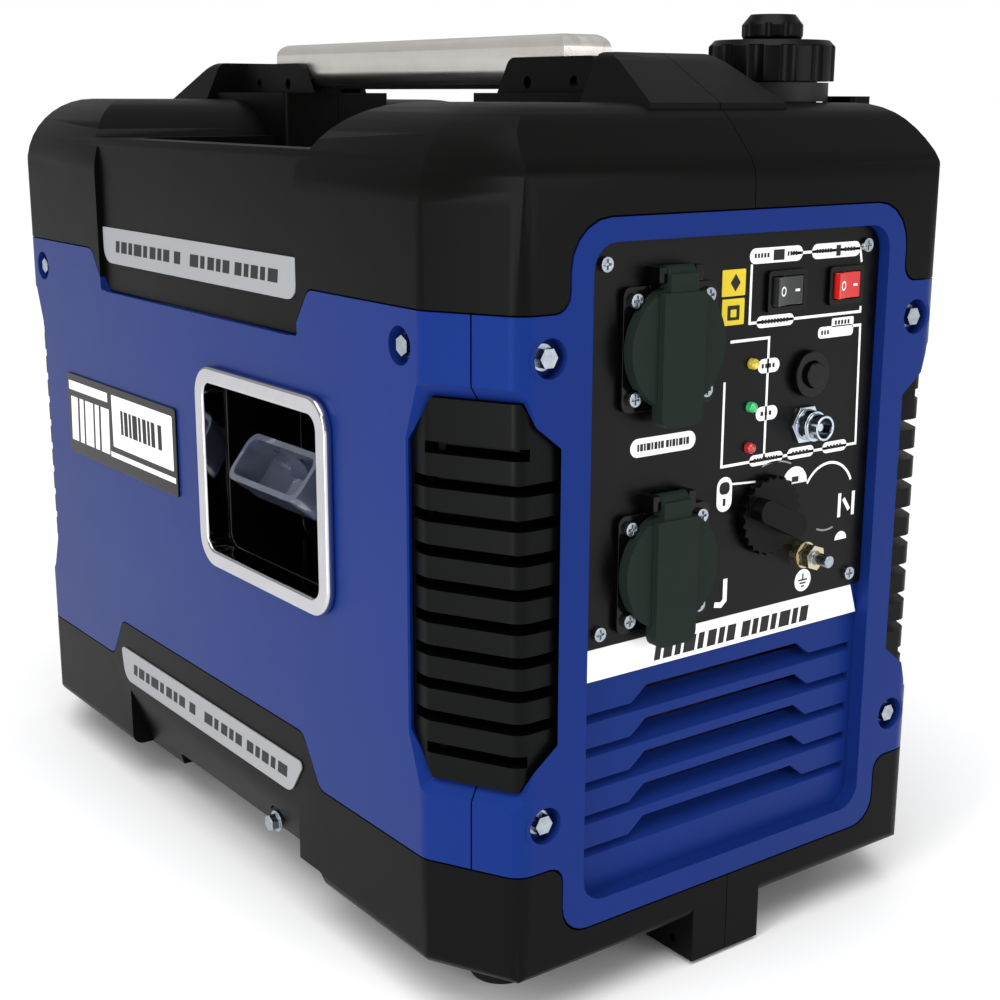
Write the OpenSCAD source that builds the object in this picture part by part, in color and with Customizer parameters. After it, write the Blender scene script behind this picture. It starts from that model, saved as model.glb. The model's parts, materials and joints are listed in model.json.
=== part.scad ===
// Inverter generator: moulded covers over a small engine, an alternator and an inverter.
// +Z is up, the control panel faces -Y and the pull starter faces -X.
// The origin is on the ground under the middle of the covers.

/* [Covers] */
// Width over the two side covers
body_w = 298; // [285:1:370]
// Length from the control panel to the exhaust end
body_l = 515; // [500:1:630]
// Height of the shoulders above the ground
shoulder_z = 406; // [395:1:495]
// Height of the covers' underside above the ground
base_z = 24; // [15:1:40]
// Wall of the moulded covers
wall = 3; // [2:0.1:3.6]
// Gap at the seams between covers
seam = 0.8; // [0.4:0.1:1.2]
// Corner chamfer, measured across the width
corner_w = 22; // [16:1:28]
// Corner chamfer, measured along the length
corner_l = 42; // [34:1:50]
// Radius of the long upper edges
shoulder_r = 40; // [30:1:46]
// Height of the black base at the ends
base_h = 53; // [45:1:58]
// Height of the black top at the ends
top_h = 83; // [78:1:90]

/* [Handle] */
// Length of the aluminium handle bar
bar_l = 282; // [276:1:338]
// Width of the handle bar
bar_w = 30; // [26:1:34]
// Height of the handle bar
bar_h = 24; // [20:1:29]
// Half length of the saddle under the handle
saddle_half = 113; // [105:1:125]
// Depth of the saddle below the shoulders
saddle_d = 21; // [15:1:26]
// Depth of the trough in the saddle
trough_d = 13; // [8:1:16]

/* [Pull starter] */
// Length of the bezel round the grip
bezel_l = 132; // [110:1:145]
// Height of the bezel
bezel_h = 106; // [98:1:128]
// Band width of the bezel
bezel_band = 9; // [7:0.5:12]
// Place of the bezel along the length, from the middle
bezel_y = -78; // [-85:1:-70]
// Depth of the cup behind the bezel
cup_d = 46; // [40:1:50]
// Pull of the starter rope
rope_pull = 700; // [500:10:900]
// Diameter of the starter rope
rope_d = 5; // [4:0.5:6]
// Radius of the rope on its reel
reel_r = 50; // [42:1:61]

/* [Control panel] */
// Width of the recess in the front frame
recess_w = 182; // [178:1:190]
// Depth of the recess in the front frame
recess_d = 8; // [6:0.5:12]
// Height of the control plate
plate_h = 178; // [170:1:215]
// Thickness of the control plate
plate_t = 2; // [1.5:0.1:3]
// Height of the pale strip under the control plate
strip_h = 16; // [12:1:20]
// Spacing of the front slats
slat_pitch = 16.2; // [14:0.1:18]

/* [Fuel cap] */
// Diameter of the fuel cap
cap_d = 62; // [52:1:66]
// Height of the fuel cap
cap_h = 19.5; // [16:0.5:24]
// Place of the fuel cap across the width, from the middle
cap_x = 85; // [82:1:92]
// Place of the fuel cap along the length, from the front
cap_in = 77; // [72:1:84]

/* [Engine] */
// Height of the crankshaft above the ground
crank_z = 172; // [168:1:178]
// Bore of the cylinder
bore_d = 46; // [42:1:50]
// Diameter of the flywheel fan
fan_d = 150; // [124:1:158]
// Diameter of the crankshaft
shaft_d = 20; // [18:1:24]

/* [Hidden] */

e = 0.02;
half_w = body_w / 2;
half_l = body_l / 2;
far = 2 * (body_w + body_l);
blue = [0.14, 0.20, 0.48];
black = [0.11, 0.11, 0.10];

// Heights of the seams: at the ends, then over the middle of the sides
seam_lo = base_z + base_h;
seam_lo_mid = seam_lo + 25;
seam_hi = shoulder_z - top_h;
seam_hi_mid = seam_hi - 23;
seam_step = 108;
seam_slant = 16;
ridge_z = shoulder_z - 27;
slope_run = 24;
saddle_z = shoulder_z - saddle_d;
trough_z = saddle_z - trough_d;

// Direction square to a corner chamfer, its angle, and its distance from the middle
corner_n = [corner_l, corner_w] / norm([corner_l, corner_w]);
corner_turn = atan2(corner_w, corner_l);
corner_half = corner_n * [half_w, half_l - corner_l];
corner_mid = [half_w - corner_w / 2, half_l - corner_l / 2];

// Fillet of radius r at b, as points on an arc between the sides towards a and c
function way(v) = v / norm(v);
function fillet(a, b, c, r, n) =
    let (u = way(a - b), v = way(c - b), half = acos(u * v) / 2)
    let (run = r / tan(half), mid = b + way(u + v) * r / sin(half))
    let (p = b + u * run - mid, q = b + v * run - mid)
    let (from = atan2(p[1], p[0]), turn = (atan2(q[1], q[0]) - from + 540) % 360 - 180)
    [for (i = [0:n]) mid + r * [cos(from + turn * i / n), sin(from + turn * i / n)]];

// Outline with each corner rounded to its own radius, or to one radius for all
function soft(pts, radii, n = 5) =
    let (k = len(pts))
    [for (i = [0:k - 1])
        let (r = is_list(radii) ? radii[i] : radii)
        each r <= 0 ? [pts[i]] : fillet(pts[(i + k - 1) % k], pts[i], pts[(i + 1) % k], r, n)];

function box_pts(x0, y0, x1, y1) = [[x0, y0], [x1, y0], [x1, y1], [x0, y1]];

// Prisms of a flat outline: along the width, along the length, or upright
module across(pts, w, x = 0) {
    translate([x, 0, 0]) rotate([90, 0, 90]) linear_extrude(w, center = true) polygon(pts);
}
module along(pts, y0, y1) {
    translate([0, y1, 0]) rotate([90, 0, 0]) linear_extrude(y1 - y0) polygon(pts);
}
module upright(pts, z0, z1) {
    translate([0, 0, z0]) linear_extrude(z1 - z0) polygon(pts);
}
module mirrored(axis) {
    children();
    mirror(axis) children();
}
// Round piece whose axis runs along the length, drawn from y0 to y1
module round_y(x, z, d, y0, y1, fn = 48) {
    translate([x, y1, z]) rotate([90, 0, 0]) cylinder(h = y1 - y0, d = d, $fn = fn);
}
module round_x(y, z, d, x0, x1, fn = 48) {
    translate([x0, y, z]) rotate([0, 90, 0]) cylinder(h = x1 - x0, d = d, $fn = fn);
}
module round_z(x, y, d, z0, z1, fn = 48) {
    translate([x, y, z0]) cylinder(h = z1 - z0, d = d, $fn = fn);
}

// ---- The shape that all the covers are cut from, drawn t inside its outer face ----

plan_r = 12;
foot_r = 7;
root_half = 31;
root_flare = 16;
root_h = 22;
root_l = 72;
end_r = 46;
side_flat_d = 3;
tower_half = 36;
tower_y = 94;
tower_end = 194;
tower_top = shoulder_z + 4;
trough_rim = 20;
belly_y0 = -125;
belly_y1 = 58;
belly_h = 8;

function plan_pts(t) =
    let (yc = (corner_half - t - corner_n[0] * (half_w - t)) / corner_n[1])
    let (xc = (corner_half - t - corner_n[1] * (half_l - t)) / corner_n[0])
    let (hw = half_w - t, hl = half_l - t)
    [[hw, -yc], [hw, yc], [xc, hl], [-xc, hl], [-hw, yc], [-hw, -yc], [-xc, -hl], [xc, -hl]];

module plan_block(t, z0, z1) {
    upright(soft(plan_pts(t), plan_r - min(t, plan_r - 1), 4), z0, z1);
}
module cross_block(t, half) {
    pts = box_pts(t - half, base_z + t, half - t, shoulder_z - t);
    foot = max(foot_r - t, 0.5);
    edge = shoulder_r - t;
    along(soft(pts, [foot, foot, edge, edge], 10), -far, far);
}
module length_block(t) {
    lean = t * tan(22.5);
    ends = [[half_l - t, ridge_z - lean], [half_l - slope_run - lean, shoulder_z - t]];
    upper = [ends[0], ends[1], [-ends[1][0], ends[1][1]], [-ends[0][0], ends[0][1]]];
    pts = concat([[t - half_l, base_z + t], [half_l - t, base_z + t]], upper);
    foot = max(foot_r - t, 0.5);
    across(soft(pts, [foot, foot, 20, 24, 24, 20], 8), far);
}
// Raised roots of the handle at both ends, on the middle of the top
module handle_roots(t) {
    y0 = half_l - slope_run;
    top = shoulder_z + root_h - t;
    low = shoulder_z - 12;
    lean = t * tan(16);
    side = [
        [y0 - root_l + slope_run + t, low], [y0 + lean - t, low], [y0 - lean - 2 * t, shoulder_z - t],
        [y0 - 31 - t, top - 4], [y0 - 40 - t, top], [y0 - root_l + slope_run + t, top]
    ];
    face = [
        [t - root_half - root_flare, low], [root_half + root_flare - t, low],
        [root_half - t, top], [t - root_half, top]
    ];
    mirrored([0, 1, 0]) intersection() {
        across(side, far);
        along(soft(face, [0, 0, 6, 6], 4), -far, far);
    }
}
// Space of the saddle between the front and rear shoulders, grown by t
function saddle_pts(t) =
    let (zc = shoulder_z - end_r, r = end_r - t, low = asin((saddle_z - t - zc) / r))
    let (arc = [for (i = [0:8]) let (a = low + (90 - low) * i / 8)
        [saddle_half + end_r - r * cos(a), zc + r * sin(a)]])
    let (rim = [saddle_half + end_r, far])
    concat([for (p = arc) [-p[0], p[1]]], [[-rim[0], far], rim], [for (i = [8:-1:0]) arc[i]]);

module saddle(t) {
    difference() {
        union() {
            across(saddle_pts(t), far);
            x = half_w - trough_rim + t;
            y = saddle_half - trough_rim / 2 + t;
            upright(soft(box_pts(-x, -y, x, y), 16, 4), trough_z - t, saddle_z + 1);
        }
        towers(t);
    }
}
// Two blocks that carry the ends of the handle above the saddle
module towers(t) {
    x = tower_half - t;
    mirrored([0, 1, 0])
        upright(soft(box_pts(-x, t - tower_end, x, -tower_y - t), 3), trough_z - 30, tower_top - t);
}
// Shallow flats in the sides beside the saddle
module side_flats(t) {
    pts = soft(box_pts(-saddle_half - t, seam_hi_mid - t, saddle_half + t, far), [2, 2, 0, 0], 4);
    mirrored([1, 0, 0]) across(pts, 20, half_w - side_flat_d + 10 - t);
}
// Raised stretch of the underside, and the sloped undercut below the side badges
module belly(t) {
    pts = box_pts(belly_y0 - t, -far, belly_y1 + t, base_z + belly_h + t);
    across(soft(pts, [0, 0, 4, 4], 3), far);
}
module scoops(t) {
    x = half_w + 1;
    pts = [[x, base_z - 1], [x, seam_lo - 14 + t], [x - 14 - t, base_z - 1]];
    mirrored([1, 0, 0]) along(pts, -seam_step + 6 - t, seam_step - 6 + t);
}
module outer(t) {
    difference() {
        union() {
            intersection() {
                plan_block(t, base_z + t - e, far);
                length_block(t);
                cross_block(t, half_w);
                rotate([0, 0, corner_turn]) cross_block(t, corner_half);
                rotate([0, 0, -corner_turn]) cross_block(t, corner_half);
            }
            handle_roots(t);
            towers(t);
        }
        saddle(t);
        side_flats(t);
        belly(t);
        scoops(t);
    }
}
module skin() {
    difference() {
        outer(0);
        outer(wall);
    }
}

// ---- How the covers are divided ----

tab_half = 103;
tab_top = shoulder_z - 45;
tab_low = base_z + 18;
tab_depth = 60;

// Outline of the blue zone along the sides, drawn g inside the seams
function side_zone(g) =
    let (a = seam_step + seam_slant, b = seam_step)
    soft([
        [-far, seam_lo + g], [-a, seam_lo + g], [-b, seam_lo_mid + g],
        [b, seam_lo_mid + g], [a, seam_lo + g], [far, seam_lo + g],
        [far, seam_hi - g], [a, seam_hi - g], [b, seam_hi_mid - g],
        [-b, seam_hi_mid - g], [-a, seam_hi - g], [-far, seam_hi - g]
    ], [0, 7, 7, 7, 7, 0, 0, 7, 7, 7, 7, 0], 4);

// Outline of the blue zone on the two ends, with the tabs above and below
function end_zone(g) =
    let (x = tab_half - g)
    soft([
        [-far, seam_lo + g], [-x, seam_lo + g], [-x, tab_low + g],
        [x, tab_low + g], [x, seam_lo + g], [far, seam_lo + g],
        [far, seam_hi - g], [x, seam_hi - g], [x, tab_top - g],
        [-x, tab_top - g], [-x, seam_hi - g], [-far, seam_hi - g]
    ], [0, 8, 14, 14, 8, 0, 0, 8, 21, 21, 8, 0], 5);

module blue_zone(g) {
    y0 = half_l - tab_depth;
    across(side_zone(g), far);
    mirrored([0, 1, 0]) along(end_zone(g), -far, -y0);
}
// Everything nearer to the front than the seams on the two front corners
module front_sector(g) {
    m = [corner_mid[0], -corner_mid[1]] - g * [corner_n[1], corner_n[0]];
    a = m + 60 * [corner_n[0], -corner_n[1]];
    b = m - 60 * [corner_n[0], -corner_n[1]];
    upright([[-b[0], b[1]], [-a[0], a[1]], [-a[0], -far], [a[0], -far], a, b], -e, far);
}
// Ring of the covers above or below the blue zone
module top_ring() {
    difference() {
        skin();
        blue_zone(-seam / 2);
        translate([-far, -far, -e]) cube([2 * far, 2 * far, (seam_lo + seam_hi) / 2]);
    }
}
module base_ring() {
    difference() {
        skin();
        blue_zone(-seam / 2);
        translate([-far, -far, (seam_lo + seam_hi) / 2]) cube([2 * far, 2 * far, far]);
    }
}
module half_space(side) {
    translate([side > 0 ? seam / 4 : -far - seam / 4, -far, -far]) cube([far, 2 * far, 2 * far]);
}

// ---- Fasteners ----

bolt_af = 8;
bolt_flange = 11.5;
bolt_shank = 5.8;
bolt_cup_d = 17;
bolt_cup_depth = 7;
side_bolt_y = half_l - corner_l - 15.5;
side_bolt_z = seam_hi - 16.5;
end_bolt_x = half_w - corner_w - 14;
end_bolt_z = [seam_lo + 22, seam_hi - 18];

// Hexagon flange bolt whose head faces up, with its seat at the origin
module flange_bolt(length, head = 5) {
    cylinder(h = 1.6, d = bolt_flange, $fn = 32);
    translate([0, 0, 1]) cylinder(h = head, d = bolt_af / cos(30), $fn = 6);
    translate([0, 0, -length]) cylinder(h = length + 1, d = bolt_shank, $fn = 32);
}
// Every place where a cover bolt goes, with +Z pointing out of the cover
module bolt_places(ends = true, sides = true) {
    if (ends)
        for (sy = [-1, 1], x = [-end_bolt_x, end_bolt_x], z = end_bolt_z)
            translate([x, sy * half_l, z]) rotate([-90 * sy, 0, 0]) children();
    if (sides)
        for (sx = [-1, 1], y = [-side_bolt_y, side_bolt_y])
            translate([sx * half_w, y, side_bolt_z]) rotate([0, 90 * sx, 0]) children();
}
module bolt_cup() {
    depth = bolt_cup_depth + wall;
    translate([0, 0, -depth]) cylinder(h = depth, d = bolt_cup_d + 4, $fn = 40);
}
module bolt_cup_hole() {
    translate([0, 0, -bolt_cup_depth]) cylinder(h = bolt_cup_depth + 1, d = bolt_cup_d, $fn = 40);
    translate([0, 0, -bolt_cup_depth - 16]) cylinder(h = 20, d = bolt_shank + 0.6, $fn = 32);
}

// ---- Corner grilles and the pockets that they sit in ----

grille_half = 33;
grille_low = seam_lo + 38.5;
grille_top = seam_hi - 36;
grille_cut = [12, 20];
grille_bevel = 6;
grille_gap = 0.4;
grille_face = 3.2;
grille_back = 11;
grille_reach = 76;
slot_h = 5.2;
slot_count = 10;
corner_shift = corner_mid * [-corner_n[1], corner_n[0]];

function grille_pts(g) =
    let (x = grille_half + g, z0 = grille_low - g, z1 = grille_top + g, c = grille_cut)
    [
        [-x, z0 + c[1]], [c[0] - x, z0], [x - c[0], z0], [x, z0 + c[1]],
        [x, z1 - c[1]], [x - c[0], z1], [c[0] - x, z1], [-x, z1 - c[1]]
    ];

// Prism square to the corner chamfer, from depth d1 up to depth d0 below the chamfer's face
module corner_prism(pts, d0, d1) {
    rotate([0, 0, corner_turn]) translate([0, corner_shift, 0])
        across(pts, d1 - d0, corner_half - (d0 + d1) / 2);
}
module at_corner(sx, sy) {
    if (sx < 0 && sy < 0) mirror([1, 0, 0]) mirror([0, 1, 0]) children();
    if (sx < 0 && sy > 0) mirror([1, 0, 0]) children();
    if (sx > 0 && sy < 0) mirror([0, 1, 0]) children();
    if (sx > 0 && sy > 0) children();
}
module grille_collar() {
    intersection() {
        difference() {
            plan_block(0, seam_lo, seam_hi);
            plan_block(grille_back, seam_lo - 1, seam_hi + 1);
        }
        corner_prism(grille_pts(grille_bevel + 2), -30, 60);
    }
}
module grille_pocket() {
    corner_prism(grille_pts(0), -30, 60);
    difference() {
        hull() {
            corner_prism(grille_pts(0), 6, 6.1);
            corner_prism(grille_pts(2 * grille_bevel), -6, -5.9);
        }
        plan_block(6, seam_lo, seam_hi);
    }
}
module grille() {
    pitch = (grille_top - grille_low - 6) / (slot_count + 1);
    x0 = recess_half + wall + 2;
    difference() {
        intersection() {
            translate([x0, half_l - grille_reach, 0]) cube([far, far, far]);
            difference() {
                plan_block(grille_face, seam_lo, seam_hi);
                plan_block(grille_back + 3, seam_lo - 1, seam_hi + 1);
            }
            union() {
                corner_prism(grille_pts(-grille_gap), -30, 60);
                difference() {
                    corner_prism(grille_pts(grille_bevel), -30, 60);
                    difference() {
                        plan_block(-5, seam_lo, seam_hi);
                        plan_block(grille_back, seam_lo - 1, seam_hi + 1);
                    }
                }
            }
        }
        for (i = [1:slot_count]) {
            z = grille_low + 2 + i * pitch;
            near_end = (i == 1 || i == slot_count) ? 7 : 0;
            x = grille_half - grille_gap - 2 - near_end;
            difference() {
                corner_prism(box_pts(-x, z - slot_h, x, z), -30, 60);
                plan_block(grille_back, seam_lo - 1, seam_hi + 1);
            }
            corner_prism(box_pts(6 - x, z - slot_h, x - 6, z - slot_h / 2), -30, 60);
        }
    }
}
module grille_front_left() { color(black) at_corner(-1, -1) grille(); }
module grille_front_right() { color(black) at_corner(1, -1) grille(); }
module grille_rear_left() { color(black) at_corner(-1, 1) grille(); }
module grille_rear_right() { color(black) at_corner(1, 1) grille(); }

// ---- Blue end panels ----

rim_low = base_z + 30;
rim_top = tab_top - 10.5;
recess_half = recess_w / 2;
plate_low = rim_top - plate_h;
strip_low = plate_low - strip_h;
floor_y = recess_d - half_l;
slat_low = rim_low + 18;
slat_x = recess_half - 3;
jog_x = [49, 58];
jog_h = 7;
air_h = 4.5;
ramp = [9, 5.5];
ramp_t = 1.6;
tail_x = -52;
tail_z = crank_z + 24;
tail_d = 34;
tail_out = 10;

// Air window whose upper edge steps up over the middle of the panel
function window_pts(z) =
    let (x = slat_x, a = jog_x, z1 = z + air_h, z2 = z + air_h + jog_h)
    [[-x, z], [x, z], [x, z1], [a[1], z1], [a[0], z2], [-a[0], z2], [-a[1], z1], [-x, z1]];

module windows(rows) {
    for (i = [0:rows - 1])
        along(window_pts(slat_low + i * slat_pitch), floor_y - 1, floor_y + wall + e);
}
// Slats that slope inwards and up from the lower edge of each window
module slats(rows) {
    for (i = [0:rows - 1])
        translate([0, 0, slat_low + i * slat_pitch]) across([
            [floor_y + e, -ramp_t], [floor_y + ramp[0], ramp[1] - ramp_t],
            [floor_y + ramp[0], ramp[1]], [floor_y + e, 0]
        ], 2 * slat_x + 4);
}
// Frame, recess and wrapped corners of the panel at the control end
module end_shell() {
    difference() {
        union() {
            intersection() {
                union() {
                    skin();
                    at_corner(-1, -1) grille_collar();
                    at_corner(1, -1) grille_collar();
                }
                blue_zone(seam / 2);
                front_sector(seam / 2);
            }
            rim = box_pts(-recess_half - wall, rim_low - wall, recess_half + wall, rim_top + wall);
            along(soft(rim, 15), -half_l, floor_y + wall);
            bolt_places(sides = false) bolt_cup();
        }
        along(soft(box_pts(-recess_half, rim_low, recess_half, rim_top), 12), -far, floor_y);
        at_corner(-1, -1) grille_pocket();
        at_corner(1, -1) grille_pocket();
        bolt_places(sides = false) bolt_cup_hole();
        translate([-far, -e, -e]) cube([2 * far, far, far]);
    }
}
module front_panel() {
    rows = round((strip_low - slat_low) / slat_pitch);
    color(blue) {
        difference() {
            end_shell();
            windows(rows);
            back = box_pts(13 - recess_half, plate_low + 8, recess_half - 13, rim_top - 8);
            along(soft(back, 8), -half_l - 1, floor_y + wall + 1);
            for (x = [-plate_screw_x, plate_screw_x], z = plate_screw_z)
                round_y(x, z, plate_screw_d + 0.1, -half_l, floor_y + wall + 1, 24);
        }
        slats(rows);
    }
}
module rear_panel() {
    rows = floor((rim_top - slat_low - 8) / slat_pitch);
    color(blue) mirror([0, 1, 0]) difference() {
        union() {
            difference() {
                end_shell();
                windows(rows);
            }
            slats(rows);
            round_y(tail_x, tail_z, tail_d + 22, floor_y - 5, floor_y + wall);
        }
        round_y(tail_x, tail_z, tail_d + 6, -far, 0);
    }
}

// ---- Blue side panels ----

bezel_z = crank_z + reel_r;
bezel_lap = 3;
bezel_out = 5;
bezel_in = 6;

// Outline of the bezel in the side's own plane, grown by g
bezel_r = 16;
function bezel_pts(g) = soft(box_pts(
    bezel_y - bezel_l / 2 - g, bezel_z - bezel_h / 2 - g,
    bezel_y + bezel_l / 2 + g, bezel_z + bezel_h / 2 + g), bezel_r + g, 8);

module side_shell() {
    difference() {
        union() {
            intersection() {
                union() {
                    skin();
                    at_corner(1, -1) grille_collar();
                    at_corner(1, 1) grille_collar();
                }
                blue_zone(seam / 2);
                translate([0, -far, 0]) cube([far, 2 * far, far]);
            }
            bolt_places(ends = false) bolt_cup();
        }
        mirrored([0, 1, 0]) front_sector(-seam / 2);
        at_corner(1, -1) grille_pocket();
        at_corner(1, 1) grille_pocket();
        bolt_places(ends = false) bolt_cup_hole();
        translate([-far, -far, -e]) cube([far, 2 * far, far]);
    }
}
module side_panel_right() { color(blue) side_shell(); }
module side_panel_left() {
    color(blue) difference() {
        mirror([1, 0, 0]) side_shell();
        across(bezel_pts(-bezel_lap), 40, -half_w);
    }
}

// ---- Pull starter ----

grip_l = 70;
grip_h = 27;
grip_depth = 20;
grip_tilt = 38;
grip_x = -half_w + 12;
post_d = 16;
fit_gap = 0.06;
reel_flange_d = 2 * reel_r + 12;
reel_w = 16;
housing_d = fan_d + 12;

module recoil_bezel() {
    color([0.85, 0.85, 0.87]) difference() {
        union() {
            across(bezel_pts(0), bezel_out, -half_w - bezel_out / 2);
            across(bezel_pts(-bezel_lap - 0.5), bezel_in + wall, -half_w + (bezel_in + wall) / 2);
        }
        across(bezel_pts(-bezel_band), 60, -half_w);
    }
}
module recoil_cup() {
    x0 = -half_w + bezel_in + wall;
    color(black) difference() {
        across(bezel_pts(-bezel_lap - 0.5), cup_d, x0 + cup_d / 2);
        across(bezel_pts(-bezel_band), cup_d, x0 + cup_d / 2 - 2.5);
        round_x(bezel_y, bezel_z, rope_d + 7, x0, x0 + cup_d + 1);
    }
}
// Dished pull grip on a tapering neck
module recoil_grip() {
    color([0.25, 0.26, 0.30]) difference() {
        union() {
            translate([grip_x, bezel_y, bezel_z + 3]) rotate([0, grip_tilt, 0]) difference() {
                across(soft(box_pts(-grip_l / 2, -grip_h / 2, grip_l / 2, grip_h / 2), 7), grip_depth);
                translate([-3, 0, 0])
                    across(soft(box_pts(3 - grip_l / 2, 3 - grip_h / 2, grip_l / 2 - 3, grip_h / 2 - 3), 5),
                        grip_depth);
            }
            translate([grip_x + 7, bezel_y, bezel_z]) rotate([0, 90, 0])
                cylinder(h = 24, d1 = 20, d2 = 11, $fn = 32);
        }
        round_x(bezel_y, bezel_z, rope_d, grip_x + 16, 0);
    }
}
module recoil_rope() {
    color([0.75, 0.75, 0.7]) round_x(bezel_y, bezel_z, rope_d, grip_x + 16, -6, 24);
}
module recoil_housing() {
    y0 = bezel_y - 22;
    color(black) difference() {
        union() {
            difference() {
                round_y(0, crank_z, housing_d, y0, bezel_y + 24, 72);
                round_y(0, crank_z, housing_d - 5, y0 + 2.5, bezel_y + 25, 72);
            }
            round_y(0, crank_z, post_d, y0, bezel_y + reel_w / 2 + 3);
            round_y(0, crank_z, 30, y0, bezel_y - reel_w / 2 - 1);
        }
        for (i = [0:11])
            translate([0, 0, crank_z]) rotate([0, 15 + i * 30, 0])
                translate([-5, y0 - 1, 34]) cube([10, 5, 28]);
        translate([-housing_d / 2 - 2, bezel_y - 7, bezel_z - 9]) cube([housing_d / 2 - 20, 14, 18]);
    }
}
module recoil_reel() {
    color([0.2, 0.2, 0.2]) difference() {
        union() {
            round_y(0, crank_z, 2 * reel_r - rope_d - 0.6, bezel_y - reel_w / 2, bezel_y + reel_w / 2, 72);
            for (y = [-reel_w / 2, reel_w / 2 - 3])
                round_y(0, crank_z, reel_flange_d, bezel_y + y, bezel_y + y + 3, 72);
        }
        round_y(0, crank_z, post_d + 2 * fit_gap, bezel_y - 30, bezel_y + 30);
        for (a = [0:60:300])
            translate([0, 0, crank_z]) rotate([0, a, 0])
                round_y(0, 30, 14, bezel_y - 30, bezel_y + 30, 32);
    }
}

// ---- Control panel ----

panel_y = floor_y - plate_t;
plate_x = recess_half - 0.5;
plate_top = rim_top - 0.5;
plate_screw_x = recess_half - 10.5;
plate_screw_z = [plate_low + 7, plate_top - 9];
plate_screw_d = 3.2;
socket_x = -45;
socket_z = [plate_low + 32, plate_top - 46];
socket_flange = 54;
socket_screw = 21;
socket_barrel = 40;
socket_well = 34;
socket_rim = 3;
pin_y = panel_y - 2 * socket_rim;
lid_r = 27;
lid_pin_z = 32;
lid_pin_d = 3;
lid_t = 6;
lid_gap = 0.4;
lid_ear = 8.5;
eco_at = [27.5, plate_top - 27];
run_at = [67, plate_top - 27];
eco_size = [25, 19];
run_size = [23, 18];
rocker_tilt = 8;
rocker_pin_d = 2.4;
rocker_pin_out = 0.8;
lamp_x = 8;
lamp_z = [plate_top - 59, plate_top - 79, plate_top - 98];
lamp_d = 5;
breaker_at = [45, plate_top - 67];
breaker_d = 22;
dc_at = [44, plate_top - 91];
dc_d = 14.5;
knob_at = [21, plate_low + 46];
knob_d = 38;
knob_h = 13;
spindle_d = 8;
ground_at = [45, plate_low + 23];
stud_d = 6;
stud_root_d = 7;
stud_free = 8.5;
stud_out = 20;
nut_af = 11;

function rocker_opening(size) = size - [5, 5];
function rocker_barrel(size) = size - [2.4, 2.4];

module control_plate() {
    color([0.04, 0.04, 0.04]) difference() {
        pts = box_pts(-plate_x, plate_low, plate_x, plate_top);
        along(soft(pts, [3, 3, 11.5, 11.5]), panel_y, floor_y);
        for (z = socket_z) {
            round_y(socket_x, z, socket_barrel + 0.6, -half_l, floor_y + 1);
            for (dx = [-socket_screw, socket_screw], dz = [-socket_screw, socket_screw])
                round_y(socket_x + dx, z + dz, 3.6, -half_l, floor_y + 1, 24);
        }
        for (x = [-plate_screw_x, plate_screw_x], z = plate_screw_z)
            round_y(x, z, 3.6, -half_l, floor_y + 1, 24);
        for (r = [[eco_at, eco_size], [run_at, run_size]])
            along(centred_box(r[0], rocker_barrel(r[1]) + [0.4, 0.4]), -half_l, floor_y + 1);
        for (z = lamp_z)
            round_y(lamp_x, z, lamp_d + 0.2, -half_l, floor_y + 1, 24);
        round_y(breaker_at[0], breaker_at[1], breaker_d - 4.6, -half_l, floor_y + 1);
        round_y(dc_at[0], dc_at[1], dc_d - 2.8, -half_l, floor_y + 1);
        round_y(knob_at[0], knob_at[1], spindle_d + 2 * fit_gap, -half_l, floor_y + 1);
        round_y(ground_at[0], ground_at[1], stud_root_d + 0.4, -half_l, floor_y + 1);
    }
}
function centred_box(at, size) = box_pts(
    at[0] - size[0] / 2, at[1] - size[1] / 2, at[0] + size[0] / 2, at[1] + size[1] / 2);

module pan_screw(x, y, z) {
    round_y(x, z, plate_screw_d, y - 1, y + 5, 24);
    difference() {
        round_y(x, z, 6.6, y - 2.2, y, 32);
        for (s = [[4.4, 1], [1, 4.4]])
            along(centred_box([x, z], s), y - 3, y - 1);
    }
}
module panel_screws() {
    color([0.8, 0.8, 0.82]) {
        for (x = [-plate_screw_x, plate_screw_x], z = plate_screw_z)
            pan_screw(x, panel_y, z);
        for (z = socket_z, dx = [-socket_screw, socket_screw], dz = [-socket_screw, socket_screw])
            pan_screw(socket_x + dx, panel_y - socket_rim, z + dz);
    }
}
// Flush earthed socket with a round well and two ears for the lid's pin
module socket(z) {
    h = socket_flange / 2;
    color(black) difference() {
        union() {
            plate = centred_box([socket_x, z], [socket_flange, socket_flange]);
            along(soft(plate, 4), panel_y - socket_rim, panel_y);
            round_y(socket_x, z, socket_barrel, panel_y - socket_rim, panel_y + 30, 64);
            ear = [
                [pin_y - 3, z + h + 1.5], [panel_y - socket_rim, z + h - 1], [panel_y, z + h - 1],
                [panel_y, z + lid_pin_z + 3], [pin_y - 3, z + lid_pin_z + 3]
            ];
            for (dx = [-lid_ear - 2, lid_ear + 2])
                across(ear, 4, socket_x + dx);
            round_x(pin_y, z + lid_pin_z, lid_pin_d, socket_x - lid_ear - 1, socket_x + lid_ear + 1, 32);
        }
        round_y(socket_x, z, socket_well, -half_l - 9, panel_y + 15, 64);
        for (dx = [-9.5, 9.5])
            round_y(socket_x + dx, z, 5.2, -half_l, panel_y + 27, 24);
        for (dx = [-socket_screw, socket_screw], dz = [-socket_screw, socket_screw])
            round_y(socket_x + dx, z + dz, 3.6, -half_l, panel_y + 1, 24);
    }
}
module socket_lower() { socket(socket_z[0]); }
module socket_upper() { socket(socket_z[1]); }

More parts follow.
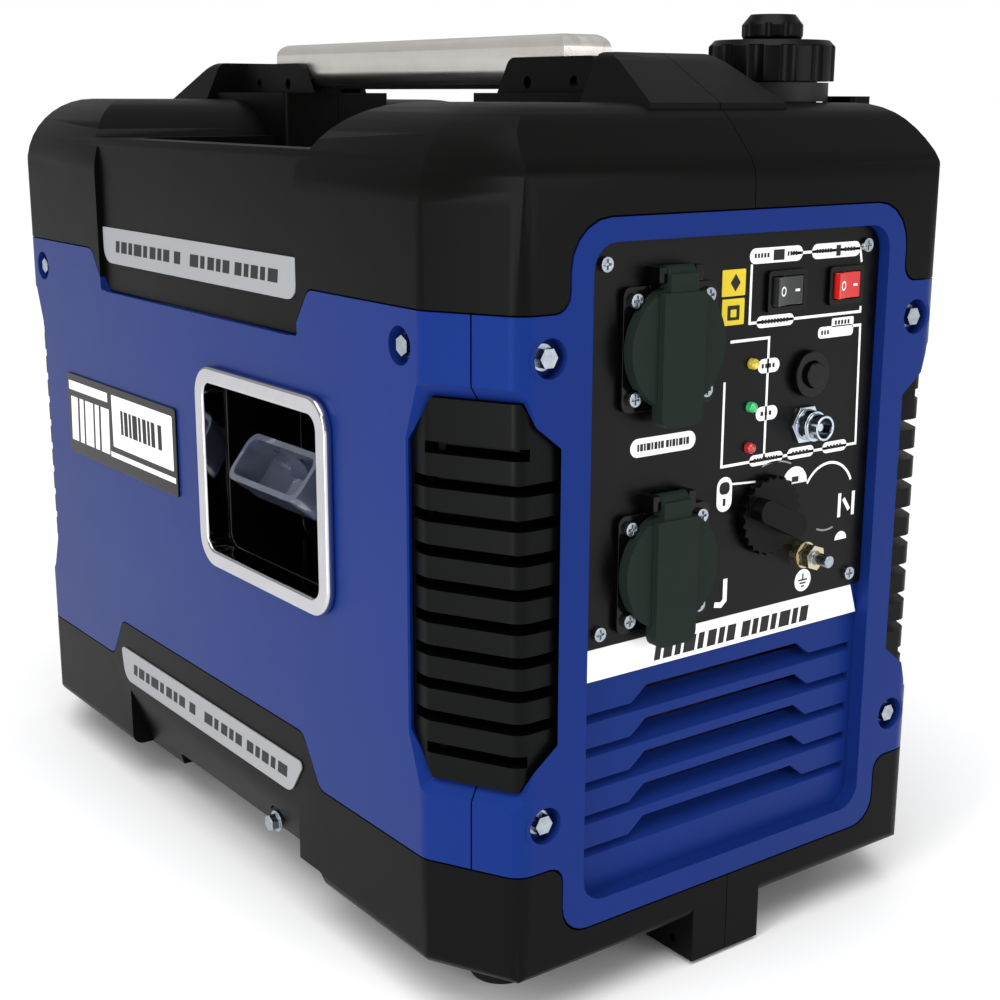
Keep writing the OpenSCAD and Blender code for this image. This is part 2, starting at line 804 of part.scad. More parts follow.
// Round lid with a raised band, a thumb tab below and a knuckle above
module socket_lid(z) {
    y = panel_y - socket_rim - lid_gap;
    knuckle = lid_ear - 0.5;
    color([0.13, 0.15, 0.14]) difference() {
        union() {
            round_y(socket_x, z, 2 * lid_r, y - lid_t, y, 64);
            band = box_pts(socket_x - 12, z - lid_r - 7, socket_x + 12, z + 24);
            along(soft(band, [5, 5, 0, 0]), y - lid_t - 3, y - 2);
            arm = box_pts(socket_x - knuckle, z + 20, socket_x + knuckle, z + lid_pin_z);
            along(arm, y - lid_t - 2, y - 0.5);
            round_x(pin_y, z + lid_pin_z, 7, socket_x - knuckle, socket_x + knuckle, 32);
        }
        round_x(pin_y, z + lid_pin_z, lid_pin_d + 2 * fit_gap, socket_x - 20, socket_x + 20, 32);
        for (dx = [-socket_screw, socket_screw], dz = [-socket_screw, socket_screw])
            round_y(socket_x + dx, z + dz, 8.4, y - 2.4, y + 1, 32);
    }
}
module socket_lid_lower() { socket_lid(socket_z[0]); }
module socket_lid_upper() { socket_lid(socket_z[1]); }

module switch_frames() {
    color(black) for (r = [[eco_at, eco_size], [run_at, run_size]])
        difference() {
            union() {
                along(soft(centred_box(r[0], r[1]), 2), panel_y - 2, panel_y);
                along(centred_box(r[0], rocker_barrel(r[1])), panel_y - 1, panel_y + 15);
            }
            along(centred_box(r[0], rocker_opening(r[1])), -half_l, panel_y + 12);
            rocker_pin(r[0], r[1], rocker_pin_d + 2 * fit_gap, rocker_pin_out + 0.2);
        }
}
// Pivot pin of a rocker, standing out beyond the opening at both ends
module rocker_pin(at, size, d, out) {
    half = rocker_opening(size)[1] / 2 + out;
    round_z(at[0], panel_y + 1, d, at[1] - half, at[1] + half, 32);
}
// Rocker that tips about an upright pivot inside its frame
module rocker(at, size) {
    rocker_pin(at, size, rocker_pin_d, rocker_pin_out);
    w = rocker_opening(size)[0] / 2 - 0.9;
    h = rocker_opening(size)[1] - 0.8;
    pts = [[w, 1], [4, 6], [-4, 6], [-w, 1], [-w, -4.6], [0, -3.2], [w, -4.6]];
    translate([at[0], panel_y + 1, at[1] - h / 2]) rotate([0, 0, rocker_tilt])
        linear_extrude(h) polygon(pts);
}
module eco_rocker() { color([0.08, 0.08, 0.08]) rocker(eco_at, eco_size); }
module run_rocker() { color([0.8, 0.08, 0.06]) rocker(run_at, run_size); }

module breaker_body() {
    x = breaker_at[0];
    z = breaker_at[1];
    color(black) difference() {
        union() {
            round_y(x, z, breaker_d, panel_y - 4, panel_y, 48);
            round_y(x, z, breaker_d - 5, panel_y - 1, panel_y + 24);
        }
        round_y(x, z, 12.4, -half_l - 5, panel_y + 14);
    }
}
module breaker_button() {
    color([0.06, 0.06, 0.06]) round_y(breaker_at[0], breaker_at[1], 12, panel_y - 6.5, panel_y + 13.5);
}
module dc_outlet() {
    x = dc_at[0];
    z = dc_at[1];
    color([0.7, 0.72, 0.74]) difference() {
        union() {
            round_y(x, z, dc_d - 2.5, panel_y - 14, panel_y);
            round_y(x, z, dc_d, panel_y - 8, panel_y);
            translate([x, panel_y, z]) rotate([90, 0, 0]) cylinder(h = 2.5, d = dc_d + 5, $fn = 6);
            round_y(x, z, dc_d - 3, panel_y - 1, panel_y + 12);
        }
        difference() {
            round_y(x, z, dc_d - 5, -half_l - 20, panel_y - 2);
            round_y(x, z, dc_d - 10.5, panel_y - 11, panel_y);
        }
    }
}
module indicator_lamps() {
    color([0.3, 0.8, 0.3]) for (z = lamp_z) {
        round_y(lamp_x, z, lamp_d, panel_y - 1.6, panel_y + 6, 32);
        translate([lamp_x, panel_y - 1.6, z]) sphere(d = lamp_d, $fn = 32);
    }
}
// Rotary fuel, choke and stop knob with a finger bar
module engine_knob() {
    x = knob_at[0];
    z = knob_at[1];
    color([0.07, 0.07, 0.07]) {
        round_y(x, z, spindle_d, panel_y - 3, panel_y + 14);
        difference() {
            round_y(x, z, knob_d, panel_y - 5, panel_y - 0.5, 64);
            for (a = [0:15:345])
                translate([x, 0, z]) rotate([0, a, 0])
                    round_y(0, knob_d / 2 + 0.6, 4, -half_l, panel_y + 1, 16);
        }
                translate([x, 0, z]) rotate([0, -64, 0])
            along(soft(centred_box([0, 0], [11, knob_d - 5]), 5), panel_y - knob_h, panel_y - 4.5);
    }
}
module ground_stud() {
    free = panel_y - stud_out + stud_free;
    color([0.8, 0.8, 0.82]) {
        round_y(ground_at[0], ground_at[1], stud_d, panel_y - stud_out, free + 1);
        round_y(ground_at[0], ground_at[1], stud_root_d, free, panel_y + 10);
    }
}
// Nuts and washers that clamp the earth stud to the plate
module ground_nuts() {
    color([0.85, 0.8, 0.65]) for (y = [panel_y - 5, panel_y - 9.5, floor_y + 5])
        difference() {
            union() {
                translate([ground_at[0], y, ground_at[1]]) rotate([90, 20, 0])
                    cylinder(h = 4, d = nut_af / cos(30), center = true, $fn = 6);
                if (y != panel_y - 9.5)
                    round_y(ground_at[0], ground_at[1], 13, y, y < panel_y ? panel_y : y + 1, 32);
            }
            round_y(ground_at[0], ground_at[1], stud_root_d, -half_l - 20, floor_y + 20);
        }
}

// ---- Black top and base ----

lug_x = bar_w / 2 + 1;
lug_t = 4;
lug_top = shoulder_z + root_h - 1;
lug_hole_z = tower_top + 5;
lug_holes = [119, 155];
bar_z = tower_top + 4;
pad_y = [108, 130];
pad_mid = (pad_y[0] + pad_y[1]) / 2;
handle_hole = 6.4;
neck_at = [cap_x, cap_in - half_l];
neck_d = 46;
neck_hole_d = neck_d + 4;
boss_at = [cap_x + 37, cap_in - half_l - 17];
vent_slot = [3.5, 24];
vent_pitch = 9;
vent_count = 8;
vent_y = saddle_half - trough_rim - 16;
block_half = 22;
block_l = 33;
block_low = 2;
feet_at = [98, 205];
foot_d = 36;
foot_stub_d = 10;

// Upright plates that hold the ends of the handle bar, one half of each pair
module lugs() {
    low = shoulder_z + 2;
    y = [-tower_end, -tower_end + 26, -tower_y - 10, -tower_y];
    top = tower_top;
    pts = soft([[y[0], low], [y[3], low], [y[3], top], [y[2], lug_top], [y[1], lug_top], [y[0], top]],
        [0, 0, 2, 7, 7, 2], 4);
    mirrored([0, 1, 0]) difference() {
        union() {
            across(pts, lug_t, lug_x + lug_t / 2);
            translate([seam / 4, -pad_y[1], tower_top - wall])
                cube([11, pad_y[1] - pad_y[0], bar_z - tower_top + wall]);
        }
        for (y = lug_holes)
            round_x(-y, lug_hole_z, 6, lug_x - 1, lug_x + lug_t + 1, 32);
        round_z(0, -pad_mid, handle_hole, tower_top - 10, bar_z + 1, 32);
    }
}
module top_half() {
    difference() {
        intersection() {
            top_ring();
            half_space(1);
        }
        for (i = [0:vent_count - 1], sy = [-1, 1])
            translate([tower_half + 12 + i * vent_pitch, sy * vent_y - vent_slot[1] / 2, trough_z - 10])
                cube([vent_slot[0], vent_slot[1], 20]);
        for (sy = [-1, 1])
            round_z(0, sy * pad_mid, handle_hole, tower_top - 10, tower_top + 5, 32);
    }
    lugs();
}
module top_shell_left() { color(black) mirror([1, 0, 0]) top_half(); }
module top_shell_right() {
    color(black) difference() {
        union() {
            top_half();
            upright(soft(centred_box(boss_at, [14, 22]), 3), shoulder_z - 9, shoulder_z + 3);
        }
        round_z(neck_at[0], neck_at[1], neck_hole_d, trough_z, shoulder_z + 10, 64);
    }
}
module base_half() {
    difference() {
        union() {
            base_ring();
            difference() {
                y1 = block_l - half_l;
                across(box_pts(-half_l, block_low, y1, base_z + wall + 6), 2 * block_half);
                across(box_pts(4 - half_l, base_z - 1, y1 - 4, base_z + 40), 2 * block_half - 8);
            }
        }
        for (z = [block_low + 7, base_z - 5])
            round_x(14 - half_l, z, 4, -block_half - 1, block_half + 1, 24);
        for (sy = [-1, 1])
            round_z(feet_at[0], sy * feet_at[1], foot_stub_d + 0.4, 0, base_z + wall + 1, 32);
        for (y = base_bolt_y)
            translate([half_w, y, base_bolt_z]) rotate([0, 90, 0]) bolt_cup_hole();
    }
}
base_bolt_y = [-seam_step + 41];
base_bolt_z = base_z + 13;

module base_right() {
    color(black) intersection() {
        base_half();
        half_space(1);
    }
}
module base_left() { color(black) mirror([1, 0, 0]) base_right(); }

module rubber_feet() {
    color([0.05, 0.05, 0.05]) for (sx = [-1, 1], sy = [-1, 1])
        translate([sx * feet_at[0], sy * feet_at[1], 0]) {
            cylinder(h = base_z, d1 = foot_d - 6, d2 = foot_d, $fn = 48);
            cylinder(h = base_z + wall + 5, d = foot_stub_d, $fn = 32);
            translate([0, 0, base_z + wall])
                cylinder(h = 4, d1 = foot_stub_d + 4, d2 = foot_stub_d, $fn = 32);
        }
}
module cover_bolts() {
    color([0.85, 0.84, 0.8]) bolt_places() translate([0, 0, -bolt_cup_depth]) flange_bolt(10);
}
module base_bolts() {
    color([0.85, 0.84, 0.8]) for (sx = [-1, 1], y = base_bolt_y)
        translate([sx * (half_w - bolt_cup_depth), y, base_bolt_z]) rotate([0, 90 * sx, 0])
            flange_bolt(6);
}

// ---- Badges and plates ----

badge_t = 1.2;
badge_half = 110;
badge_h = 20;
top_badge_z = seam_hi - 7;
base_badge_z = seam_lo - 11;
plate_at = [20, seam_hi - 127];
plate_size = [150, 49];

module top_badges() {
    pts = box_pts(-badge_half, top_badge_z, badge_half, top_badge_z + badge_h);
    color([0.85, 0.85, 0.86]) mirrored([1, 0, 0])
        across(soft(pts, [9, 9, 1, 1]), badge_t, half_w - side_flat_d + badge_t / 2);
}
module base_badges() {
    z = [base_badge_z, base_badge_z + badge_h];
    pts = [[14 - badge_half, z[0]], [badge_half - 4, z[0]], [badge_half, z[1]], [-badge_half, z[1]]];
    color([0.85, 0.85, 0.86]) mirrored([1, 0, 0])
        across(soft(pts, [9, 9, 3, 3]), badge_t, half_w + badge_t / 2);
}
module name_plate() {
    pts = box_pts(plate_at[0], plate_at[1], plate_at[0] + plate_size[0], plate_at[1] + plate_size[1]);
    color(black) across(soft(pts, 2), badge_t, -half_w - badge_t / 2);
}
module front_strip() {
    x = recess_half - 1;
    pts = [[-x, strip_low + 0.5], [x, strip_low + 0.5], [x - 5, plate_low - 0.3], [-x, plate_low - 0.3]];
    color([0.92, 0.92, 0.92]) along(pts, floor_y - badge_t, floor_y);
}

// ---- Handle ----

module handle_bar() {
    half = bar_l / 2;
    side = soft(box_pts(-half, bar_z, half, bar_z + bar_h), [3, 3, 8, 8], 6);
    face = soft(box_pts(-bar_w / 2, bar_z, bar_w / 2, bar_z + bar_h), [8, 8, 6, 6], 6);
    color([0.75, 0.73, 0.70]) difference() {
        intersection() {
            across(side, far);
            along(face, -far, far);
        }
        hollow = box_pts(3 - bar_w / 2, bar_z + 3, bar_w / 2 - 3, bar_z + bar_h - 3);
        along(soft(hollow, 4), 8 - half, half - 8);
        for (sy = [-1, 1])
            round_z(0, sy * pad_mid, handle_hole, bar_z - 1, bar_z + 4, 32);
    }
}
module handle_liner() {
    y = tower_y - 2;
    x = bar_w / 2 - 9;
    color(black) along(soft(box_pts(-x, bar_z - 2, x, bar_z), [1.5, 1.5, 0, 0]), -y, y);
}
// Bolts up through the tower tops, with square nuts inside the bar
module handle_bolts() {
    nut = [13, 5];
    color([0.8, 0.8, 0.82]) for (sy = [-1, 1])
        translate([0, sy * pad_mid, 0]) {
            translate([0, 0, tower_top - wall]) mirror([0, 0, 1])
                flange_bolt(bar_z - tower_top + wall + 11);
            translate([-nut[0] / 2, -nut[0] / 2, bar_z + 3]) cube([nut[0], nut[0], nut[1]]);
        }
}

// ---- Fuel tank and cap ----

tank_low = crank_z + 110;
tank_half = 108;
tank_y = [28 - half_l + 18, -8];
tank_wall = 2.5;
cap_low = shoulder_z + 10;
neck_top = cap_low + 2;
neck_bore = 36;
collar_d = 57;
vent_d = 30;
vent_h = 12;
vent_stem_d = 8;

function tank_pts(t) =
    let (y0 = tank_y[0] + t, y1 = tank_y[1] - t, low = tank_low + t)
    let (top = trough_z - wall - 8 - t, front = shoulder_z - wall - 10 - t)
    soft([
        [y0, low], [y1, low], [y1, top], [-saddle_half - 12 - t, top], [-saddle_half - 30 - t, front],
        [y0 + 14, front], [y0, front - 14]
    ], [6, 8, 8, 6, 6, 6, 6], 3);

module fuel_tank() {
    x = neck_at[0];
    y = neck_at[1];
    color([0.16, 0.16, 0.17]) difference() {
        union() {
            intersection() {
                across(tank_pts(0), 2 * tank_half);
                along(soft(box_pts(-tank_half, tank_low, tank_half, far), 12), -far, far);
            }
            round_z(x, y, neck_d, shoulder_z - 30, neck_top, 64);
            round_z(x, y, collar_d, shoulder_z + 0.4, cap_low - 0.6, 64);
        }
        intersection() {
            across(tank_pts(tank_wall), 2 * (tank_half - tank_wall));
            inside = box_pts(tank_wall - tank_half, tank_low + tank_wall, tank_half - tank_wall, far);
            along(soft(inside, 10), -far, far);
        }
        round_z(x, y, neck_bore, shoulder_z - 40, neck_top + 1, 64);
    }
}
module cap_seal() {
    x = neck_at[0];
    y = neck_at[1];
    color([0.3, 0.25, 0.2]) {
        round_z(x, y, neck_bore - 1, neck_top - 12, neck_top + 0.5, 48);
        round_z(x, y, neck_d, neck_top, neck_top + 2, 48);
    }
}
module fuel_cap() {
    x = neck_at[0];
    y = neck_at[1];
    top = cap_low + cap_h;
    color(black) difference() {
        round_z(x, y, cap_d, cap_low, top, 96);
        round_z(x, y, neck_d + 3, cap_low - 1, neck_top + 2.3, 64);
        translate([x, y, top - vent_h]) cylinder(h = vent_h + 1, d = vent_stem_d + 2 * fit_gap, $fn = 48);
        for (a = [0:30:330])
            translate([x, y, 0]) rotate([0, 0, a])
                round_z(cap_d / 2 + 3.4, 0, 11, cap_low - 1, top - 2.5, 32);
        translate([x, y, 0]) rotate_extrude($fn = 96)
            polygon([[cap_d / 2 - 3, top + 0.1], [cap_d / 2 + 1, top - 4], [cap_d / 2 + 1, top + 1]]);
    }
}
module vent_knob() {
    x = neck_at[0];
    y = neck_at[1];
    low = cap_low + cap_h + 0.3;
    color([0.16, 0.16, 0.16]) {
        difference() {
            translate([x, y, 0]) rotate_extrude($fn = 64) polygon([
                [0, low], [vent_d / 2 - 1, low], [vent_d / 2, low + 2], [vent_d / 2, low + 7],
                [vent_d / 2 - 4, low + vent_h], [0, low + vent_h]
            ]);
            for (a = [0:36:324])
                translate([x, y, 0]) rotate([0, 0, a])
                    round_z(vent_d / 2 + 2, 0, 6, low + 1.5, low + 8, 24);
        }
        round_z(x, y, vent_stem_d, low - vent_h + 2, low + 1, 48);
    }
}

// ---- Engine ----

engine_y = [0, 92];
crankcase_half = 62;
crankcase_low = crank_z - 108;
crankcase_top = crank_z + 46;
cylinder_y = (engine_y[0] + engine_y[1]) / 2;
cylinder_top = crankcase_top + 62;
fin_count = 7;
fin_half = 40;
mount_x = 46;
fan_y = [bezel_y + 27, -14];
magnet_r = fan_d / 2 - 16;

module crankcase() {
    outer_pts = box_pts(-crankcase_half, crankcase_low, crankcase_half, crankcase_top);
    inner_pts = box_pts(6 - crankcase_half, crankcase_low + 6, crankcase_half - 6, crankcase_top - 8);
    color([0.6, 0.6, 0.6]) difference() {
        union() {
            along(soft(outer_pts, [10, 10, 30, 30]), engine_y[0], engine_y[1]);
            round_y(0, crank_z, shaft_d + 22, engine_y[0] - 8, engine_y[0] + 1);
            translate([crankcase_half - 12, engine_y[1] - 30, crankcase_low + 30]) rotate([0, 50, 0])
                cylinder(h = 34, d = 22, $fn = 32);
        }
        along(soft(inner_pts, [6, 6, 26, 26]), engine_y[0] + 7, engine_y[1] - 7);
        round_y(0, crank_z, shaft_d + 2 * fit_gap, engine_y[0] - 20, engine_y[1] - 2);
        round_z(0, cylinder_y, bore_d, crankcase_top - 20, crankcase_top + 1, 64);
    }
}
function square_pts(half) = box_pts(-half, cylinder_y - half, half, cylinder_y + half);

// Cylinder barrel with its cooling fins
module cylinder_block() {
    color([0.65, 0.65, 0.65]) difference() {
        union() {
            round_z(0, cylinder_y, bore_d + 12, crankcase_top, cylinder_top, 64);
            for (z = [crankcase_top + 6 : 7 : crankcase_top + 7 * fin_count])
                upright(soft(square_pts(fin_half), 10), z, z + 2.5);
            upright(soft(square_pts(32), 8), cylinder_top - 9, cylinder_top);
        }
        round_z(0, cylinder_y, bore_d, crankcase_top - 1, cylinder_top - 8, 64);
        translate([30, cylinder_y, cylinder_top - 22]) rotate([0, 60, 0]) {
            cylinder(h = 40, d = 10, $fn = 32);
            translate([0, 0, 10]) cylinder(h = 30, d = 20, $fn = 32);
        }
    }
}
module valve_cover() {
    z = cylinder_top;
    color([0.5, 0.5, 0.5]) {
        upright(soft(square_pts(32), 8), z, z + 8);
        upright(soft(square_pts(28), 8), z + 8, z + 26);
    }
}
module spark_plug() {
    color([0.92, 0.9, 0.86]) translate([30, cylinder_y, cylinder_top - 22]) rotate([0, 60, 0]) {
        translate([0, 0, 1]) cylinder(h = 12, d = 9.6, $fn = 32);
        translate([0, 0, 12]) cylinder(h = 6, d = 18, $fn = 6);
        translate([0, 0, 18]) cylinder(h = 18, d = 9, $fn = 32);
        translate([0, 0, 36]) cylinder(h = 22, d = 15, $fn = 32);
    }
}
module crankshaft() {
    mid = cylinder_y;
    color([0.55, 0.55, 0.57]) {
        round_y(0, crank_z, shaft_d, fan_y[0] - 4, mid - 9);
        round_y(0, crank_z, shaft_d, mid + 9, engine_y[1] - 3);
        for (y = [mid - 16, mid + 8])
            round_y(0, crank_z - 6, 62, y, y + 8, 64);
        round_y(0, crank_z + 16, 16, mid - 9, mid + 9);
    }
}
// Fan and magnet cup on the front end of the crankshaft
module flywheel() {
    color([0.45, 0.45, 0.47]) difference() {
        union() {
            round_y(0, crank_z, fan_d - 22, fan_y[0], fan_y[1] - 2, 72);
            round_y(0, crank_z, fan_d, fan_y[0] + 9, fan_y[0] + 12, 72);
            for (a = [0:20:340])
                translate([0, 0, crank_z]) rotate([0, a, 0]) translate([-1.2, fan_y[0], fan_d / 2 - 16])
                    cube([2.4, 10, 15]);
        }
        round_y(0, crank_z, 2 * magnet_r, fan_y[0] + 6, fan_y[1], 72);
        round_y(0, crank_z, shaft_d + 0.04, fan_y[0] - 1, fan_y[1]);
    }
}
module stator() {
    color([0.72, 0.42, 0.2]) difference() {
        union() {
            round_y(0, crank_z, 70, fan_y[0] + 9, -8, 64);
            for (a = [0:30:330])
                translate([0, 0, crank_z]) rotate([0, a, 0])
                    translate([-8, fan_y[0] + 10, 34]) cube([16, 18, magnet_r - 39]);
        }
        round_y(0, crank_z, shaft_d + 24, fan_y[0] + 8, 0);
    }
}
module muffler() {
    y0 = engine_y[1] + 30;
    y1 = half_l - 62;
    color([0.45, 0.42, 0.4]) difference() {
        union() {
            along(soft(box_pts(-88, crank_z - 45, 66, crank_z + 62), 26), y0, y1);
            round_y(20, crank_z + 72, 22, engine_y[1] - 4, y0 + 20);
            round_y(tail_x, tail_z, tail_d, y1 - 4, half_l + tail_out);
        }
        round_y(tail_x, tail_z, tail_d - 5, y1 + 4, half_l + tail_out + 1);
    }
}
module carburettor() {
    x = -fin_half;
    z = cylinder_top - 18;
    color([0.62, 0.62, 0.6]) difference() {
        union() {
            round_x(cylinder_y, z, 24, x - 34, x - 0.4);
            translate([x - 26, cylinder_y - 14, z - 30]) cube([20, 28, 44]);
        }
        round_x(cylinder_y, z, 14, x - 36, x + 1, 32);
    }
}
module air_cleaner() {
    x1 = -fin_half - 34;
    z = cylinder_top - 18;
    color([0.12, 0.12, 0.12]) difference() {
        across(soft(box_pts(cylinder_y - 36, z - 40, cylinder_y + 36, z + 30), 8), 36, x1 - 18);
        across(soft(box_pts(cylinder_y - 33, z - 37, cylinder_y + 33, z + 27), 6), 30, x1 - 18);
        round_x(cylinder_y, z, 16, x1 - 4, x1 + 1, 32);
        round_x(cylinder_y - 20, z - 20, 18, x1 - 40, x1 - 32, 32);
    }
}
// Finned case of the inverter behind the lower slats
module inverter_module() {
    y = [floor_y + 22, floor_y + 62];
    low = base_z + wall;
    color([0.55, 0.56, 0.58]) {
        translate([-80, y[0], low + 12]) cube([160, y[1] - y[0] - 12, 98]);
        for (i = [0:15])
            translate([-79 + i * 10.2, y[1] - 13, low + 14]) cube([3, 13, 94]);
        for (x = [-70, 56])
            translate([x, y[0] + 6, low]) cube([14, 20, 13]);
    }
}
module engine_mounts() {
    color([0.05, 0.05, 0.05]) for (x = [-mount_x, mount_x], y = [14, 78]) {
        low = base_z + wall + (y < belly_y1 ? belly_h : 0);
        round_z(x, y, 24, low, crankcase_low, 40);
    }
}

base_left();
base_right();
rubber_feet();
side_panel_left();
side_panel_right();
front_panel();
rear_panel();
top_shell_left();
top_shell_right();
grille_front_left();
grille_front_right();
grille_rear_left();
grille_rear_right();
top_badges();
base_badges();
name_plate();
front_strip();
cover_bolts();
base_bolts();
control_plate();
panel_screws();
socket_upper();
socket_lower();
socket_lid_upper();
socket_lid_lower();
switch_frames();
eco_rocker();
run_rocker();
breaker_body();
breaker_button();
dc_outlet();
indicator_lamps();
engine_knob();
ground_stud();
ground_nuts();
recoil_bezel();
recoil_cup();
recoil_grip();
recoil_rope();
recoil_housing();
recoil_reel();
handle_bar();
handle_liner();
handle_bolts();
fuel_tank();
cap_seal();
fuel_cap();
vent_knob();
crankcase();
cylinder_block();
valve_cover();
spark_plug();
crankshaft();
flywheel();
stator();
muffler();
air_cleaner();
carburettor();
inverter_module();
engine_mounts();
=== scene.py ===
import json
import math

import bmesh
import bpy
from mathutils import Matrix, Vector


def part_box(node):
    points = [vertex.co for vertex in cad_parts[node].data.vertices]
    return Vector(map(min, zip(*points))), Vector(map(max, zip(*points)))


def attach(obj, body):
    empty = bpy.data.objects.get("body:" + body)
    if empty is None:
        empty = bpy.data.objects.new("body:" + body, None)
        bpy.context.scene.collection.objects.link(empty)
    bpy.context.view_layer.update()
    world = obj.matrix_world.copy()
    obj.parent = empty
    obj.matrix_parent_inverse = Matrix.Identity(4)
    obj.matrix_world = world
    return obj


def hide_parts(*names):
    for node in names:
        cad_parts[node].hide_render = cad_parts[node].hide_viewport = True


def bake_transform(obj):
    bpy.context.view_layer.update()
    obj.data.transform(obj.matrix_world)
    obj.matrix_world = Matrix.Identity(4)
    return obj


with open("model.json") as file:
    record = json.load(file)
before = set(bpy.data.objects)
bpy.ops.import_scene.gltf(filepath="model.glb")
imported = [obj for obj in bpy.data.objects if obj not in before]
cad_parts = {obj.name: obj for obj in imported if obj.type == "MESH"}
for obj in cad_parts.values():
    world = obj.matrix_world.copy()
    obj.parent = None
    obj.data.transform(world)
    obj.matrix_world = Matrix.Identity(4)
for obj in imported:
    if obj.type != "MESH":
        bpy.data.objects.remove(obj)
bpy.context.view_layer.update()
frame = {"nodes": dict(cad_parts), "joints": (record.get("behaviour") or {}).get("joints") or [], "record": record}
NODES = frame["nodes"]
MM = 0.001

# ---- Materials ----


def rgb(hex_code):
    """Linear colour of an sRGB hex value."""
    def linear(c):
        return c / 12.92 if c <= 0.04045 else ((c + 0.055) / 1.055) ** 2.4
    return [linear(int(hex_code[i:i + 2], 16) / 255) for i in (1, 3, 5)] + [1.0]


def add(tree, kind, settings=None, links=None):
    """A node with its settings, and its inputs linked or set."""
    made = tree.nodes.new(kind)
    for name, value in (settings or {}).items():
        setattr(made, name, value)
    for key, value in (links or {}).items():
        if isinstance(value, bpy.types.NodeSocket):
            tree.links.new(value, made.inputs[key])
        else:
            made.inputs[key].default_value = value
    return made


def new_material(name, **sockets):
    """A material, its tree, its shader and the Object coordinates in millimetres."""
    made = bpy.data.materials.new(name)
    made.use_nodes = True
    tree = made.node_tree
    shader = tree.nodes["Principled BSDF"]
    for key, value in sockets.items():
        shader.inputs[key.replace("_", " ")].default_value = value
    place = add(tree, "ShaderNodeTexCoord").outputs["Object"]
    return made, tree, shader, place


def noise(tree, place, size_mm, detail=3.0, rough=0.55, stretch=(1, 1, 1)):
    """Noise whose cells are about size_mm across."""
    scaled = add(tree, "ShaderNodeMapping", {}, {"Vector": place, "Scale": stretch})
    return add(tree, "ShaderNodeTexNoise", {}, {
        "Vector": scaled.outputs["Vector"], "Scale": 1000.0 / size_mm, "Detail": detail,
        "Roughness": rough}).outputs["Fac"]


def span(tree, value, low, high, from_low=0.35, from_high=0.65):
    """A noise value spread over the range low to high."""
    return add(tree, "ShaderNodeMapRange", {}, {
        "Value": value, "From Min": from_low, "From Max": from_high, "To Min": low,
        "To Max": high}).outputs["Result"]


def mixed(tree, factor, a, b):
    """Colour a where the factor is 0, colour b where it is 1."""
    made = add(tree, "ShaderNodeMix", {"data_type": "RGBA"}, {})
    for socket, value in ((made.inputs[0], factor), (made.inputs[6], a), (made.inputs[7], b)):
        if isinstance(value, bpy.types.NodeSocket):
            tree.links.new(value, socket)
        else:
            socket.default_value = value
    return made.outputs[2]


def bumped(tree, shader, height, strength, depth_mm):
    """Relief of the given depth on the shader, from a height between 0 and 1."""
    bump = add(tree, "ShaderNodeBump", {}, {
        "Height": height, "Strength": strength, "Distance": depth_mm * MM})
    tree.links.new(bump.outputs["Normal"], shader.inputs["Normal"])


def moulded(name, colour, tint, rough, grain_mm, grain_depth, edge, coat=0.0, shine=0.25):
    """Moulded plastic: slow tint drift, a fine sparked grain, and a painted highlight that makes the rounded edges
    paler in patches.
    """
    made, tree, shader, place = new_material(
        name, IOR=1.5, Specular_IOR_Level=shine, Coat_Weight=coat, Coat_Roughness=0.25)
    drift = span(tree, noise(tree, place, 160, 2), 0.0, 1.0, 0.2, 0.8)
    base = mixed(tree, drift, rgb(colour), rgb(tint))
    # The rounded edge faces are mixed towards the paler edge colour in patches: a painted highlight along the
    # edges
    rounded_edge_faces = add(tree, "ShaderNodeAttribute", {"attribute_name": "edge"}).outputs["Fac"]
    highlight_patches = span(tree, noise(tree, place, 6, 4), 0.0, 0.8, 0.42, 0.7)
    painted_edge_highlight = add(tree, "ShaderNodeMath", {"operation": "MULTIPLY"}, {0: rounded_edge_faces, 1: highlight_patches}).outputs[0]
    tree.links.new(mixed(tree, painted_edge_highlight, base, rgb(edge)), shader.inputs["Base Color"])
    tree.links.new(span(tree, noise(tree, place, 30, 5), rough - 0.02, rough + 0.03, 0.2, 0.8),
                   shader.inputs["Roughness"])
    bumped(tree, shader, noise(tree, place, grain_mm, 2, 0.5), 0.3, grain_depth)
    return made


def metal(name, colour, tint, rough, stretch=(1, 1, 1), grain_mm=0.6, depth=0.01, drift_mm=20):
    """Metal with a drifting tint, and a grain drawn along the way that it was worked."""
    made, tree, shader, place = new_material(name, Metallic=1.0)
    drift = span(tree, noise(tree, place, drift_mm, 3), 0.0, 1.0)
    tree.links.new(mixed(tree, drift, rgb(colour), rgb(tint)), shader.inputs["Base Color"])
    tree.links.new(span(tree, noise(tree, place, drift_mm / 3, 3, 0.6, stretch), rough * 0.75, rough * 1.3),
                   shader.inputs["Roughness"])
    bumped(tree, shader, noise(tree, place, grain_mm, 2, 0.5, stretch), 0.3, depth)
    return made


# ABS covers, moulded in blue with a satin sparked grain 0.7 mm across
BLUE_ABS = moulded("blue_abs_moulded", "#142A6E", "#132869", 0.34, 0.7, 0.02, "#2A4C9E", 0.0, 0.16)
# The blue pigment colours its sheen as well, so highlights on it stay blue
BLUE_ABS.node_tree.nodes["Principled BSDF"].inputs["Specular Tint"].default_value = rgb("#5F94FF")
# ABS top and base, moulded in black with a slightly coarser grain that reads matte
BLACK_ABS = moulded("black_abs_grained", "#080807", "#060606", 0.38, 0.8, 0.03, "#161716", 0.0, 0.065)
# ABS grilles, the same black with a smoother face, so that the slats catch a soft line of light
GRILLE_ABS = moulded("black_abs_grille", "#050606", "#040505", 0.34, 0.8, 0.02, "#161717", 0.0, 0.08)
# Polished black ABS of the starter cup, outlets, frames, breaker and side plate: almost no grain
GLOSS_BLACK = moulded("black_abs_polished", "#030304", "#040405", 0.14, 0.9, 0.004, "#0C0C0E", 0.0, 0.2)
